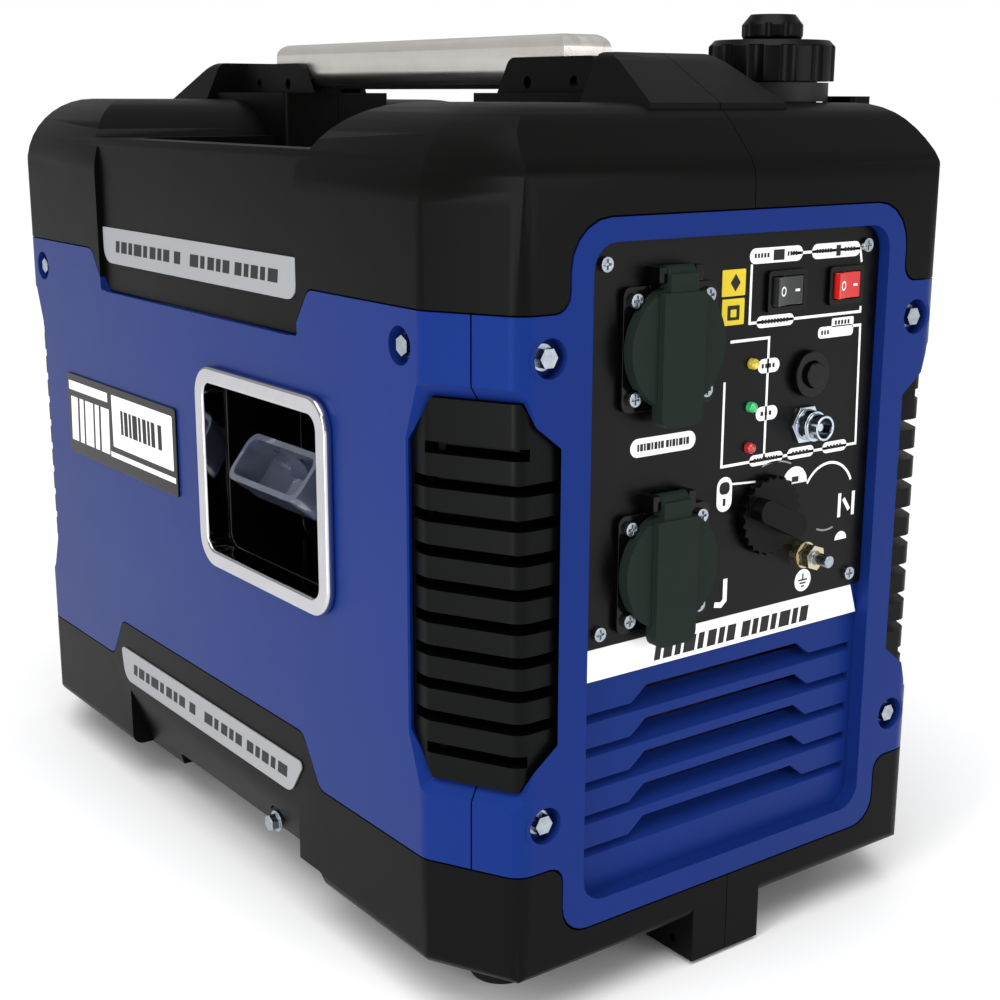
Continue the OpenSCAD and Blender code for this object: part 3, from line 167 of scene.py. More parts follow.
# Thermoplastic rubber of the socket lids: dry, grey-green, with a soft grain
LID_RUBBER = moulded("grey_soft_lid_rubber", "#1B2520", "#19221E", 0.6, 0.6, 0.03, "#222A26", 0.0, 0.08)
# Nitrile rubber of the feet, mounts, seal and handle liner
FOOT_RUBBER = moulded("black_nitrile_rubber", "#0C0C0C", "#0F0F0E", 0.7, 0.9, 0.05, "#1A1A18")
# Polyamide of the knobs, the tank cap and the reel
KNOB_PA = moulded("black_polyamide_knob", "#030303", "#040404", 0.34, 0.6, 0.02, "#101011", 0.0, 0.1)
# Silver film of the badges: pale grey with a satin clear face
BADGE_FILM = moulded("silver_badge_film", "#96979A", "#8F9194", 0.34, 0.5, 0.004, "#B4B6B8", 0.1)
# White printed film of the strip and the graphics
WHITE_FILM = moulded("white_screen_print", "#FAFAF9", "#F6F6F5", 0.45, 0.5, 0.006, "#F2F2F0")
# Grey print between the white graphics
GREY_FILM = moulded("grey_screen_print", "#8E9090", "#858786", 0.5, 0.5, 0.006, "#A0A0A0")
# Black print on the strip, the badges and the labels
BLACK_PRINT = moulded("black_screen_print", "#101012", "#151517", 0.45, 0.5, 0.006, "#1C1C1E")
# Yellow vinyl of the two small labels
YELLOW_VINYL = moulded("yellow_vinyl_label", "#E3C91B", "#D9BE14", 0.42, 0.5, 0.006, "#F0DC50", 0.2)
# Red polycarbonate rocker, glossy, lit from behind when it runs
RED_ROCKER = moulded("red_polycarbonate_rocker", "#D01F1A", "#C01813", 0.22, 0.7, 0.006, "#E85850", 0.4)
# Black rocker, glossy grey-black
ROCKER_BLACK = moulded("black_polycarbonate_rocker", "#26292A", "#202324", 0.25, 0.7, 0.006, "#4A4D4E", 0.3)
# Blow-moulded polyethylene tank
TANK_HDPE = moulded("black_polyethylene_tank", "#1A1A1B", "#202022", 0.5, 2.0, 0.08, "#303032")
# White glazed alumina of the plug
CERAMIC = moulded("white_glazed_alumina", "#E4E0D6", "#DAD6CB", 0.2, 1.0, 0.004, "#EFECE4", 0.5)

# Chromed ABS bezel: bright, near mirror
CHROME = metal("chromed_abs_trim", "#C4C4C7", "#BCBCC0", 0.07, grain_mm=2.0, depth=0.001)
# Anodised aluminium handle, brushed along its length with lines 0.4 mm apart
HANDLE_ALU = metal("brushed_anodised_aluminium", "#F3EFEA", "#EDE9E3", 0.32, (1, 0.02, 1), 0.4, 0.008)
# Bright zinc plate on steel bolts, screws and the stud
ZINC = metal("zinc_plated_steel", "#A9B0B8", "#949DA6", 0.24, grain_mm=0.8, depth=0.008, drift_mm=4)
# Zinc-nickel shell of the screw connector, smoother than the bolts
CONNECTOR = metal("nickel_plated_brass", "#C6CDD3", "#B7C2CC", 0.16, grain_mm=0.8, depth=0.004, drift_mm=5)
# Yellow chromate on the earth nuts
YELLOW_ZINC = metal("yellow_chromate_zinc", "#CDB98A", "#BFC0B0", 0.28, grain_mm=0.8, depth=0.008, drift_mm=4)
# Die-cast alloy of the engine: grey, blasted, 1 mm cast grain
CAST_ALLOY = metal("die_cast_aluminium", "#9A9B9C", "#8C8D8E", 0.48, grain_mm=1.0, depth=0.05)
# Aluminium extrusion round the inverter, made near black as painted shade, so that the view in through the grille
# slots stays dark
INVERTER_SHADE_BLACK = metal("near_black_aluminium_painted_shade", "#141416", "#101012", 0.45, (1, 1, 0.05), 0.5, 0.01)
# Ground steel of the crankshaft
GROUND_STEEL = metal("ground_carbon_steel", "#8B8C8E", "#7C7D80", 0.25, (1, 0.05, 1), 0.5, 0.01)
# Enamelled copper windings, wires 1 mm apart
COPPER = metal("enamelled_copper_winding", "#A65B2C", "#8E4922", 0.3, (0.15, 1, 0.15), 1.0, 0.08)


def heat_steel():
    """Aluminised exhaust steel, browned and blued where it runs hot."""
    made, tree, shader, place = new_material("heat_tinted_exhaust_steel", Metallic=0.85, Roughness=0.45)
    warm = mixed(tree, span(tree, noise(tree, place, 40, 4), 0, 1), rgb("#6B625A"), rgb("#4C4A52"))
    spots = mixed(tree, span(tree, noise(tree, place, 5, 5), 0, 1, 0.5, 0.7), warm, rgb("#5A3F2C"))
    tree.links.new(spots, shader.inputs["Base Color"])
    bumped(tree, shader, noise(tree, place, 1.5, 4), 0.3, 0.06)
    return made


def lens(name, colour, glow):
    """Diffused lamp lens: coloured resin with a clear skin and a faint glow."""
    made, tree, shader, place = new_material(
        name, Roughness=0.12, IOR=1.5, Coat_Weight=0.6, Coat_Roughness=0.05)
    base = mixed(tree, span(tree, noise(tree, place, 2.0, 2), 0, 1), rgb(colour), rgb(glow))
    tree.links.new(base, shader.inputs["Base Color"])
    shader.inputs["Emission Color"].default_value = rgb(glow)
    shader.inputs["Emission Strength"].default_value = 0.25
    return made


def smoky_grip():
    """Smoke-tinted polycarbonate grip: translucent blue-grey body under a hard gloss."""
    made, tree, shader, place = new_material(
        "smoke_polycarbonate", Roughness=0.09, IOR=1.58, Coat_Weight=0.8, Coat_Roughness=0.03,
        Transmission_Weight=0.25)
    base = mixed(tree, span(tree, noise(tree, place, 30, 2), 0, 1), rgb("#5C6378"), rgb("#4C5266"))
    tree.links.new(base, shader.inputs["Base Color"])
    bumped(tree, shader, noise(tree, place, 6, 2), 0.15, 0.03)
    return made


def braided_cord():
    """Braided polyamide starter cord: strands 1.2 mm wide crossing both ways round it."""
    made, tree, shader, place = new_material("braided_polyamide_cord", Roughness=0.72, Sheen_Weight=0.3)
    strand_mm = 1.2
    turns = 1000 / strand_mm / 6.283
    waves = []
    for lean in (38, -38):
        turned = add(tree, "ShaderNodeMapping", {}, {
            "Vector": place, "Rotation": (0, 0, math.radians(lean)), "Scale": (turns, turns, turns)})
        waves.append(add(tree, "ShaderNodeTexWave", {"wave_type": "BANDS"}, {
            "Vector": turned.outputs["Vector"], "Scale": 1.0, "Distortion": 0.4}).outputs["Fac"])
    both = add(tree, "ShaderNodeMath", {"operation": "MAXIMUM"}, {0: waves[0], 1: waves[1]}).outputs[0]
    tree.links.new(mixed(tree, both, rgb("#8C8878"), rgb("#CFCBBD")), shader.inputs["Base Color"])
    bumped(tree, shader, both, 0.6, 0.25)
    return made


def coated_sheet():
    """Control plate: powder-coated steel sheet, black, with fine orange peel 1.5 mm across."""
    made, tree, shader, place = new_material(
        "black_powder_coated_sheet", IOR=1.5, Specular_IOR_Level=0.14)
    base = mixed(tree, span(tree, noise(tree, place, 50, 3), 0, 1), rgb("#040405"), rgb("#060607"))
    tree.links.new(base, shader.inputs["Base Color"])
    tree.links.new(span(tree, noise(tree, place, 8, 3), 0.28, 0.38), shader.inputs["Roughness"])
    bumped(tree, shader, noise(tree, place, 1.5, 2), 0.25, 0.02)
    return made


HEAT_STEEL = heat_steel()
SMOKE = smoky_grip()
CORD = braided_cord()
PLATE_BLACK = coated_sheet()

# ---- Making pieces ----


CREASE = math.radians(40)  # edges that turn more than this stay crisp
MERGE_DIST = 2e-6          # metres, for joining the corners of loose triangles
FLAT = math.radians(0.6)   # faces that turn less than this are one flat face


def placed(name, data):
    """An object for the data, linked to the scene."""
    made = bpy.data.objects.new(name, data)
    bpy.context.scene.collection.objects.link(made)
    return made


def mesh_object(mesh, name, materials):
    """An object from a bmesh and its materials."""
    data = bpy.data.meshes.new(name)
    mesh.to_mesh(data)
    mesh.free()
    for m in materials:
        data.materials.append(m)
    return placed(name, data)


def smooth(made):
    """Smooth shading, with the creases kept crisp."""
    for polygon in made.data.polygons:
        polygon.use_smooth = True
    made.data.set_sharp_from_angle(angle=CREASE)


def piece(mesh, name, materials, body, slot, *stands_for):
    """A shaded object from a bmesh, riding on a CAD body."""
    mesh.normal_update()
    made = mesh_object(mesh, name, materials)
    smooth(made)
    weighted = made.modifiers.new("even_shading", "WEIGHTED_NORMAL")
    weighted.keep_sharp = True
    if stands_for:
        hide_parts(*stands_for)
    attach(made, body)
    return made


def merged_copy(node):
    """The CAD node's surface with its triangles joined and its flat faces whole."""
    made = bmesh.new()
    made.from_mesh(NODES[node].data)
    bmesh.ops.remove_doubles(made, verts=made.verts, dist=MERGE_DIST)
    bmesh.ops.dissolve_degenerate(made, edges=made.edges, dist=MERGE_DIST)
    bmesh.ops.dissolve_limit(made, angle_limit=FLAT, verts=made.verts, edges=made.edges)
    return made


def soften(made, width_mm, segments=2, angle=33):
    """Rounds every hard edge, and marks the rounded faces so that they can carry a painted highlight."""
    shortest = 0.2 * MM
    layer = made.faces.layers.float.new("edge")
    hard = [e for e in made.edges if len(e.link_faces) == 2 and e.calc_face_angle(0) > math.radians(angle)
            and e.calc_length() > shortest]
    cut = bmesh.ops.bevel(made, geom=hard, offset=width_mm * MM, offset_type="OFFSET", segments=segments,
                          profile=0.5, affect="EDGES", clamp_overlap=True, material=-1,
                          loop_slide=True)
    for face in cut["faces"]:
        face[layer] = 1.0


def body_of(node):
    """The name of the rigid body that a CAD node belongs to."""
    for name, nodes in frame["record"]["behaviour"]["bodies"].items():
        if node in nodes:
            return name


SLOTS = {row["node"]: row["material_slot"] for row in frame["record"]["subparts"]}


def finished(node, name, material, width_mm, segments=2, angle=33):
    """A CAD node's shape with softened edges, in place of the node."""
    made = merged_copy(node)
    soften(made, width_mm, segments, angle)
    return piece(made, name, [material], body_of(node), SLOTS[node], node)


# The CAD nodes that are seen: node, name of its piece, finish and edge radius in millimetres
for node, name, material, width in (
        ("base_left", "base_cover_left", BLACK_ABS, 0.9),
        ("base_right", "base_cover_right", BLACK_ABS, 0.9),
        ("side_panel_left", "side_cover_left", BLUE_ABS, 0.8),
        ("side_panel_right", "side_cover_right", BLUE_ABS, 0.8),
        ("front_panel", "end_cover_front", BLUE_ABS, 0.7),
        ("rear_panel", "end_cover_rear", BLUE_ABS, 0.7),
        ("top_shell_left", "top_cover_left", BLACK_ABS, 0.9),
        ("top_shell_right", "top_cover_right", BLACK_ABS, 0.9),
        ("grille_front_left", "corner_grille_front_left", GRILLE_ABS, 0.6),
        ("grille_front_right", "corner_grille_front_right", GRILLE_ABS, 0.6),
        ("grille_rear_left", "corner_grille_rear_left", GRILLE_ABS, 0.6),
        ("grille_rear_right", "corner_grille_rear_right", GRILLE_ABS, 0.6),
        ("top_badges", "side_badges_upper", BADGE_FILM, 0.35),
        ("base_badges", "side_badges_lower", BADGE_FILM, 0.35),
        ("name_plate", "side_plate", GLOSS_BLACK, 0.3),
        ("front_strip", "panel_strip", WHITE_FILM, 0.25),
        ("control_plate", "panel_sheet", PLATE_BLACK, 0.3),
        ("socket_upper", "outlet_upper", GLOSS_BLACK, 0.4),
        ("socket_lower", "outlet_lower", GLOSS_BLACK, 0.4),
        ("socket_lid_upper", "outlet_lid_upper", LID_RUBBER, 0.8),
        ("socket_lid_lower", "outlet_lid_lower", LID_RUBBER, 0.8),
        ("switch_frames", "rocker_frames", GLOSS_BLACK, 0.4),
        ("eco_rocker", "rocker_black", ROCKER_BLACK, 0.5),
        ("run_rocker", "rocker_red", RED_ROCKER, 0.5),
        ("breaker_body", "breaker_ring", GLOSS_BLACK, 0.5),
        ("breaker_button", "breaker_push_button", GLOSS_BLACK, 0.8),
        ("engine_knob", "rotary_knob", KNOB_PA, 0.5),
        ("recoil_bezel", "starter_bezel", CHROME, 2.2),
        ("recoil_cup", "starter_cup", GLOSS_BLACK, 0.8),
        ("recoil_grip", "starter_grip", SMOKE, 0.8),
        ("handle_bar", "carry_bar", HANDLE_ALU, 0.6),
        ("handle_liner", "carry_bar_liner", FOOT_RUBBER, 0.8),
        ("fuel_cap", "tank_cap", KNOB_PA, 0.5),
        ("vent_knob", "cap_vent_knob", KNOB_PA, 0.6),
        ("cover_bolts", "cover_flange_bolts", ZINC, 0.25),
        ("base_bolts", "base_flange_bolts", ZINC, 0.25),
        ("panel_screws", "panel_pan_screws", ZINC, 0.2),
        ("ground_nuts", "earth_nuts", YELLOW_ZINC, 0.25),
        ("ground_stud", "earth_stud", ZINC, 0.3),
        ("dc_outlet", "screw_connector", CONNECTOR, 0.3),
        ("rubber_feet", "feet", FOOT_RUBBER, 1.2),
):
    finished(node, name, material, width)

# The nodes inside, and the bolts under the handle, keep their CAD shape and get a finish
for node, material in (
        ("handle_bolts", ZINC), ("cap_seal", FOOT_RUBBER), ("recoil_housing", BLACK_ABS),
        ("recoil_reel", KNOB_PA), ("fuel_tank", TANK_HDPE), ("crankcase", CAST_ALLOY),
        ("cylinder_block", CAST_ALLOY), ("valve_cover", CAST_ALLOY), ("spark_plug", CERAMIC),
        ("crankshaft", GROUND_STEEL), ("flywheel", CAST_ALLOY), ("stator", COPPER), ("muffler", HEAT_STEEL),
        # The inverter's near-black metal is painted shade behind the grille slots
        ("air_cleaner", BLACK_ABS), ("carburettor", CAST_ALLOY), ("inverter_module", INVERTER_SHADE_BLACK),
        ("engine_mounts", FOOT_RUBBER)):
    NODES[node].data.materials.clear()
    NODES[node].data.materials.append(material)

# ---- Lamps: each lens in its own colour ----

LENSES = [lens("amber_lamp_lens", "#8A7A20", "#D8C040"), lens("green_lamp_lens", "#1C6A3C", "#3CC070"),
          lens("red_lamp_lens", "#6A1418", "#C03038")]
lamp_lo, lamp_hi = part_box("indicator_lamps")
lamps = merged_copy("indicator_lamps")
for face in lamps.faces:
    share = (lamp_hi.z - face.calc_center_median().z) / (lamp_hi.z - lamp_lo.z)
    face.material_index = min(int(share * len(LENSES)), len(LENSES) - 1)
piece(lamps, "lamp_lenses", LENSES, body_of("indicator_lamps"), SLOTS["indicator_lamps"], "indicator_lamps")

# ---- Flat print: lines, pills and marks a tenth of a millimetre thick ----

PRINT_T = 0.12            # thickness of a printed film
INK = PRINT_T * 0.6       # how far black print stands out of the film below it
SUNK = 0.02               # print starts this far inside its surface, so that no gap shows
LINE = 1.3                # width of the lines that frame the groups on the panel
plate_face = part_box("control_plate")[0].y * 1000 + SUNK
strip_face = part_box("front_strip")[0].y * 1000 + SUNK


def raised(mesh, faces, index, thick):
    """Gives flat faces their thickness, towards -y."""
    grown = bmesh.ops.extrude_face_region(mesh, geom=faces)["geom"]
    tops = [v for v in grown if isinstance(v, bmesh.types.BMVert)]
    bmesh.ops.translate(mesh, verts=tops, vec=(0, -thick * MM, 0))
    for f in {f for v in tops for f in v.link_faces} | set(faces):
        f.material_index = index


def slab(mesh, points, index=0, thick=PRINT_T):
    """A thin flat shape from its outline in millimetres, raised by thick."""
    raised(mesh, [mesh.faces.new([mesh.verts.new((x * MM, 0, z * MM)) for x, z in points])], index, thick)


def arc(x, z, r, a0, a1, n):
    """Points along an arc about (x, z), from a0 to a1 degrees in n steps."""
    return [(x + r * math.cos(math.radians(a0 + (a1 - a0) * i / n)),
             z + r * math.sin(math.radians(a0 + (a1 - a0) * i / n))) for i in range(n + 1)]


def pill(mesh, x0, z0, x1, z1, index=0, thick=PRINT_T, r=None):
    """A thin flat bar with round corners, or with round ends where no radius is given."""
    r = min(x1 - x0, z1 - z0) / 2 if r is None else r
    pts = (arc(x1 - r, z0 + r, r, -90, 0, 5) + arc(x1 - r, z1 - r, r, 0, 90, 5)
           + arc(x0 + r, z1 - r, r, 90, 180, 5) + arc(x0 + r, z0 + r, r, 180, 270, 5))
    slab(mesh, pts, index, thick)


def stroke(mesh, points, width, index=0, thick=PRINT_T):
    """A line of the given width through the points, mitred where it turns."""
    pts = [Vector(p) for p in points]
    ways = [(b - a).normalized() for a, b in zip(pts, pts[1:])]
    rails = []
    for i, p in enumerate(pts):
        n = (ways[max(i - 1, 0)] + ways[min(i, len(ways) - 1)]).normalized()
        n = Vector((-n.y, n.x))
        after = ways[min(i, len(ways) - 1)]
        reach = n * width / 2 / max(0.5, n.dot(Vector((-after.y, after.x))))
        rails.append([mesh.verts.new((q.x * MM, 0, q.y * MM)) for q in (p + reach, p - reach)])
    raised(mesh, [mesh.faces.new((a[0], a[1], b[1], b[0])) for a, b in zip(rails, rails[1:])], index, thick)


def dashes(mesh, x0, x1, z0, z1, pattern, index, lean=0.0, thick=PRINT_T):
    """A row of plain blocks in place of words, spread from x0 to x1."""
    total = sum(w + g for w, g in pattern)
    k = (x1 - x0) / total
    x = x0
    for w, g in pattern:
        slab(mesh, [(x, z0), (x + w * k, z0), (x + w * k + lean, z1), (x + lean, z1)], index, thick)
        x += (w + g) * k


def printed(mesh, name, materials, slot, y_mm):
    """Sets a flat drawing on the front of the covers."""
    bmesh.ops.translate(mesh, verts=mesh.verts, vec=(0, y_mm * MM, 0))
    bmesh.ops.recalc_face_normals(mesh, faces=mesh.faces)
    return piece(mesh, name, materials, "housing", slot)


# Widths of the blocks that stand in for words, each with the gap after it
BLOCKS = [(2, 1), (3, 1), (2, 1), (4, 1), (2, 1.4), (3, 1), (2, 1), (3, 2.4), (3, 1), (2, 1), (3, 1),
          (2, 1.2), (4, 1), (2, 1), (3, 0)]

# Places on the panel are x and z of the frame in millimetres
art = bmesh.new()
# Box round the rockers, with two pills above and one below
stroke(art, [(5.5, 336), (5.5, 309.5), (79.5, 309.5), (79.5, 312)], LINE)
stroke(art, [(30, 339.5), (77, 339.5), (78.5, 333)], LINE)
pill(art, 4, 336, 38, 343)
pill(art, 44, 336, 77, 343)
pill(art, 10, 306.8, 34, 312.2)
# Box round the lamps
stroke(art, [(-6, 302), (18.5, 302), (18.5, 245), (-8.7, 245), (-8.7, 284)], LINE)
pill(art, 12, 285.8, 26, 292.4)
pill(art, 12, 263.6, 26, 270.2)
pill(art, 9, 242.6, 31, 247.8)
# Box round the breaker and the connector
stroke(art, [(18.5, 245), (81.5, 245), (80, 303), (74, 303)], LINE)
pill(art, 34, 242.6, 52, 248)
pill(art, 58, 242.6, 75, 248)
pill(art, 51, 298.6, 75, 304, r=2)
pill(art, 60, 303.4, 75, 307.6, r=0.8)
# Label between the sockets
pill(art, -64, 256, -25.5, 264.4)
# Marks round the knob
pill(art, -11, 223.6, -1.4, 240, r=4.6)
stroke(art, [(-1.4, 236), (14, 235)], 1.0)
slab(art, arc(40, 230.5, 8.4, 0, 180, 10))
stroke(art, arc(63.5, 220, 17.6, 24, 148, 16), LINE)
stroke(art, [(72.4, 209), (72.4, 221)], 2.0)
stroke(art, [(75.2, 218), (79.4, 212)], 2.0)
stroke(art, [(82.2, 209), (82.2, 221)], 2.0)
slab(art, arc(74.5, 197.5, 4.2, 0, 180, 8))
slab(art, arc(49, 181, 5.6, 0, 342, 19))
stroke(art, [(-10, 179.4), (-5.8, 178.6), (-3.4, 180.6), (-3.4, 191)], 2.6)
stroke(art, [(36.4, 260), (39.4, 266.6)], 1.5, 1)
stroke(art, [(39, 259), (42, 265.6)], 1.5, 1)
stroke(art, arc(63.5, 220, 16, 246, 288, 5), 0.9, 1)
stroke(art, arc(26, 216, 27, 66, 108, 8), 0.8, 1)
printed(art, "panel_print_white", [WHITE_FILM, GREY_FILM], "white_film", plate_face)

marks = bmesh.new()
# Dark marks inside the pills, in place of the words
slab(marks, [(19, 337), (26, 337), (26, 341.8), (19, 341.8)])
slab(marks, [(60.4, 336.8), (63.4, 336.8), (63.4, 341.8), (60.4, 341.8)])
block_share = 0.62
for x0, x1, z, n in ((7, 17, 339.6, 5), (28, 35, 339.6, 4), (47, 58, 339.6, 6), (66, 74, 339.6, 4),
                     (13, 31, 309.5, 9), (14.4, 23.6, 289.1, 4), (15, 23, 266.9, 3), (12, 28, 245.2, 9),
                     (37, 49, 245.3, 5), (61, 72, 245.3, 5), (53, 59, 301.3, 3), (62, 73, 305.4, 5)):
    step = (x1 - x0) / n
    for i in range(n):
        left, right = x0 + i * step, x0 + i * step + step * block_share
        slab(marks, [(left, z - 1), (right, z - 1), (right, z + 1), (left, z + 1)])
dashes(marks, -60, -29.5, 258.6, 261.8, BLOCKS, 0)
pill(marks, -9.4, 231.8, -3, 237.6, r=2.4)
stroke(marks, [(-6.2, 226.4), (-6.2, 229.8)], 1.6)
stroke(marks, [(38, 232.6), (42.4, 232.6)], 2.6)
stroke(marks, [(49, 184.4), (49, 181.4)], 0.9)
stroke(marks, [(45.9, 181.2), (52.1, 181.2)], 0.8)
stroke(marks, [(46.9, 179.6), (51.1, 179.6)], 0.8)
stroke(marks, [(47.9, 178), (50.1, 178)], 0.8)
printed(marks, "panel_print_black", [BLACK_PRINT], "black_gloss", plate_face - INK)

labels = bmesh.new()
pill(labels, -12.6, 322.6, 1.8, 334.4, 0, 0.3, 0.6)
pill(labels, -12.2, 309.6, 1.6, 321.4, 0, 0.3, 0.6)
slab(labels, [(-7.4, 328.5), (-4.4, 324.6), (-1.4, 328.5), (-4.4, 332.4)], 1, 0.42)
pill(labels, -8.8, 311.8, -1.4, 318.4, 1, 0.42, 0.5)
pill(labels, -7, 313.2, -3.4, 316.6, 0, 0.5, 0.4)
printed(labels, "panel_labels_yellow", [YELLOW_VINYL, BLACK_PRINT], "badge_silver", plate_face)

strip_art = bmesh.new()
dashes(strip_art, -46, 54, 159.4, 167.2, BLOCKS, 0, 1.2)
printed(strip_art, "strip_print_black", [BLACK_PRINT], "black_gloss", strip_face)

# ---- Side badges and plate, with plain blocks in place of words ----


def on_side(mesh, name, materials, slot, x_mm, right=False):
    """Sets a flat drawing on a side cover. Its +x runs forwards on the left, backwards on the right."""
    turn = Matrix.Rotation(math.radians(90 if right else -90), 4, "Z")
    bmesh.ops.transform(mesh, matrix=turn, verts=mesh.verts)
    bmesh.ops.translate(mesh, verts=mesh.verts, vec=(x_mm * MM, 0, 0))
    bmesh.ops.recalc_face_normals(mesh, faces=mesh.faces)
    return piece(mesh, name, materials, "housing", slot)


top_lo, top_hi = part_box("top_badges")
low_lo, low_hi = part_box("base_badges")
for right in (False, True):
    side = "right" if right else "left"
    for level, lo, hi in (("upper", top_lo, top_hi), ("lower", low_lo, low_hi)):
        bars = bmesh.new()
        z = (lo.z + hi.z) * 500
        dashes(bars, -93, -9, z - 3.2, z + 3.2, BLOCKS[:9], 0, 1.0)
        dashes(bars, 0, 95, z - 3.2, z + 3.2, BLOCKS[3:13], 0, 1.0)
        x = (hi.x * 1000 - SUNK) if right else (lo.x * 1000 + SUNK)
        on_side(bars, f"badge_print_{level}_{side}", [BLACK_PRINT], "black_gloss", x, right)

name_lo, name_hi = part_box("name_plate")
name_face = name_lo.x * 1000 + SUNK
mid_y = -(name_lo.y + name_hi.y) * 500
half_print = 73
x0, x1 = mid_y - half_print, mid_y + half_print
z0, z1 = name_lo.z * 1000, name_hi.z * 1000
face = bmesh.new()
slab(face, [(x0 + 1, z1 - 10), (x0 + 58, z1 - 10), (x0 + 58, z1 - 4.5), (x0 + 1, z1 - 4.5)])
dashes(face, x0 + 2, x0 + 58, z0 + 8, z1 - 14, [(5, 1.6), (3, 1.4), (6, 1.4), (3, 1.6), (6, 0)], 0, 1.5)
pill(face, x0 + 64, z0 + 14, x1 - 2, z1 - 4.5, 0, PRINT_T, 1.0)
slab(face, [(x0 + 60, z0 + 7.5), (x1, z0 + 7.5), (x1, z0 + 10.5), (x0 + 60, z0 + 10.5)])
on_side(face, "plate_print_white", [WHITE_FILM], "white_film", name_face)
inner = bmesh.new()
dashes(inner, x0 + 76, x1 - 14, z0 + 23, z1 - 12, BLOCKS[:9], 0, 0)
on_side(inner, "plate_print_black", [BLACK_PRINT], "black_gloss", name_face - INK)

# ---- Rocker marks: a ring and a bar on each, riding with the rocker ----

ROCKER_LEAN = 8     # degrees that a rocker leans at rest
ROCKER_FACE = 3.25  # millimetres from a rocker's pivot to the middle of its face
ROCKER_RISE = 1.4   # millimetres that the face rises from its middle to its ends

for node, body, name in (("eco_rocker", "eco_switch", "rocker_black_marks"),
                         ("run_rocker", "run_switch", "rocker_red_marks")):
    lo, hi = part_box(node)
    pivot = [j for j in frame["joints"] if j["name"] == node][0]["pos_m"]
    signs = bmesh.new()
    turn = Matrix.Rotation(math.radians(ROCKER_LEAN), 4, "Z")
    half = (hi.x - lo.x) * 500
    stroke(signs, arc(-half * 0.55, 0, 1.9, 0, 360, 14), 0.7)
    stroke(signs, [(half * 0.42, 0), (half * 0.72, 0)], 1.1)
    for v in signs.verts:
        v.co.y -= (ROCKER_FACE + abs(v.co.x) * 1000 * ROCKER_RISE / half) * MM
    bmesh.ops.transform(signs, matrix=Matrix.Translation(Vector(pivot)) @ turn, verts=signs.verts)
    bmesh.ops.recalc_face_normals(signs, faces=signs.faces)
    piece(signs, name, [WHITE_FILM], body, "white_film")

# ---- Starter rope: a braided cord from the reel to the grip ----

rope_lo, rope_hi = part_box("recoil_rope")
rope_r = (rope_hi.z - rope_lo.z) / 2
rope = bmesh.new()
ring = bmesh.ops.create_circle(rope, cap_ends=False, segments=16, radius=rope_r)["verts"]
bmesh.ops.rotate(rope, verts=ring, cent=(0, 0, 0), matrix=Matrix.Rotation(math.radians(90), 3, "Y"))
bmesh.ops.translate(rope, verts=rope.verts,
                    vec=(rope_lo.x, (rope_lo.y + rope_hi.y) / 2, (rope_lo.z + rope_hi.z) / 2))
edges = list(rope.edges)
bmesh.ops.edgenet_fill(rope, edges=edges)
steps = 60
for i in range(steps):
    grown = bmesh.ops.extrude_edge_only(rope, edges=edges)
    fresh = [v for v in grown["geom"] if isinstance(v, bmesh.types.BMVert)]
    bmesh.ops.translate(rope, verts=fresh, vec=((rope_hi.x - rope_lo.x) / steps, 0, 0))
    edges = [e for e in grown["geom"] if isinstance(e, bmesh.types.BMEdge)]
bmesh.ops.edgenet_fill(rope, edges=edges)
bmesh.ops.recalc_face_normals(rope, faces=rope.faces)
cord = mesh_object(rope, "starter_cord", [CORD])
smooth(cord)
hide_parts("recoil_rope")
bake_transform(cord)

# ---- Floor, light and camera ----

FLOOR_HALF = 60  # metres, far enough that its edge is never seen


def pale_paper():
    """Pale paper of the floor, with a very slow drift of shade."""
    made, tree, shader, place = new_material("pale_paper_floor", Roughness=0.6)
    drift = span(tree, noise(tree, place, 300, 2), 0, 1)
    tree.links.new(mixed(tree, drift, rgb("#FDFDFD"), rgb("#FCFCFC")), shader.inputs["Base Color"])
    return made


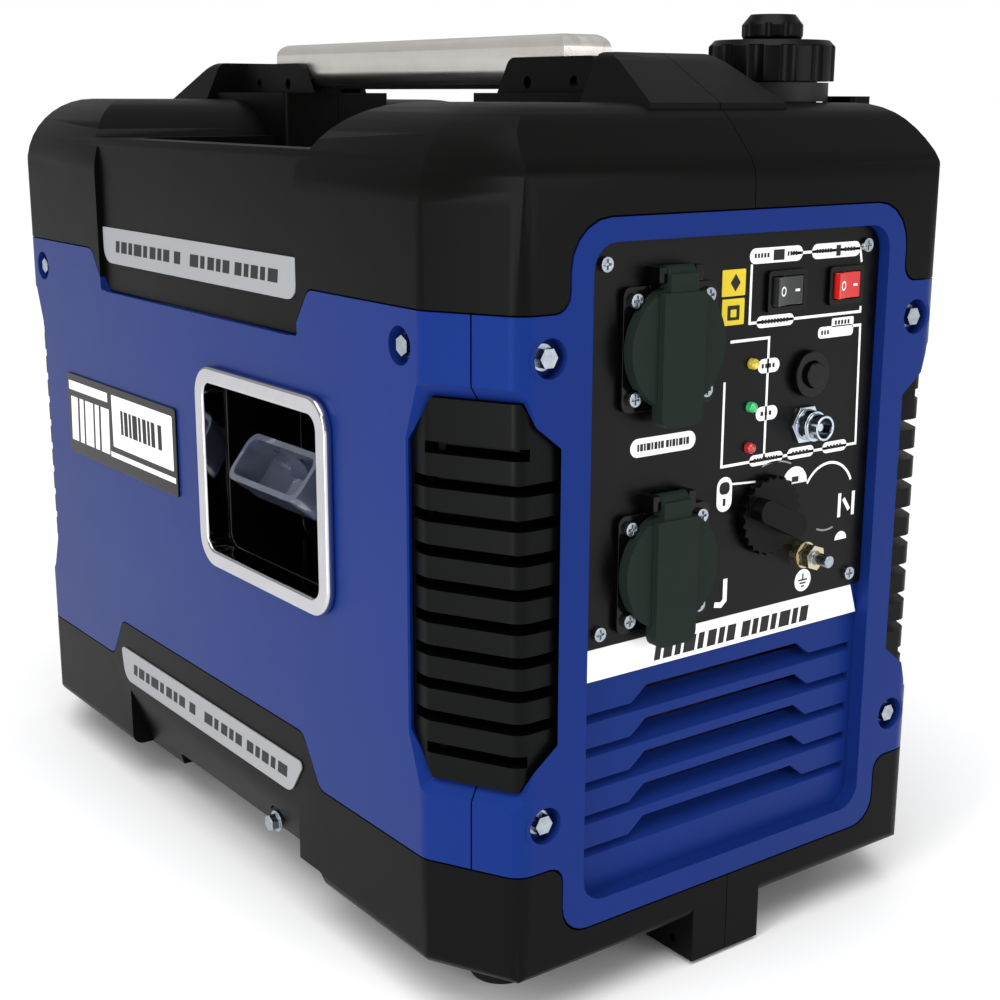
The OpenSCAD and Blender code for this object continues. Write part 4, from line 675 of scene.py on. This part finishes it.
floor_mesh = bmesh.new()
bmesh.ops.create_grid(floor_mesh, x_segments=1, y_segments=1, size=FLOOR_HALF)
floor = mesh_object(floor_mesh, "floor", [pale_paper()])

# The sky lights the object at AMBIENT, and is plain white to the camera
AMBIENT = 0.45
world = bpy.data.worlds.new("studio")
bpy.context.scene.world = world
world.use_nodes = True
sky = world.node_tree
sky.nodes["Background"].inputs["Color"].default_value = (1, 1, 1, 1)
seen = add(sky, "ShaderNodeLightPath").outputs["Is Camera Ray"]
sky.links.new(span(sky, seen, AMBIENT, 1.0, 0.0, 1.0), sky.nodes["Background"].inputs["Strength"])
bpy.context.scene.view_settings.view_transform = "Standard"


def softbox(name, place, aim, size, power):
    """A rectangular light of the given size and power, at a place and turned to its aim."""
    data = bpy.data.lights.new(name, "AREA")
    data.shape = "RECTANGLE"
    data.size, data.size_y = size
    data.energy = power
    lamp = placed(name, data)
    lamp.location = place
    lamp.rotation_euler = (Vector(aim) - Vector(place)).to_track_quat("-Z", "Y").to_euler()


def wide_sun(name, way, power, spread_deg):
    """A broad, soft light from overhead, coming from the given way."""
    data = bpy.data.lights.new(name, "SUN")
    data.energy = power
    data.angle = math.radians(spread_deg)
    lamp = placed(name, data)
    lamp.rotation_euler = Vector(way).to_track_quat("Z", "Y").to_euler()


softbox("key_left", place=(-0.95, -0.5, 0.4), aim=(-0.13, -0.24, 0.25), size=(0.25, 0.8), power=5)
softbox("front_fill", place=(0.7, -2.2, 0.7), aim=(0, 0, 0.22), size=(1.2, 1.0), power=13)
wide_sun("top_light", way=(-0.22, -0.15, 1), power=2.3, spread_deg=60)

# Camera off the left front corner, level with the shoulders and looking down a little
EYE = (-0.5154, -0.7655, 0.4087)
yaw, pitch, roll = math.radians(36.57), math.radians(14.1), math.radians(0.21)
camera_data = bpy.data.cameras.new("camera")
camera_data.sensor_width = 36
camera_data.lens = 57.96
camera = placed("camera", camera_data)
camera.matrix_world = (Matrix.Translation(EYE) @ Matrix.Rotation(-yaw, 4, "Z")
                       @ Matrix.Rotation(math.pi / 2 - pitch, 4, "X") @ Matrix.Rotation(roll, 4, "Z"))
bpy.context.scene.camera = camera
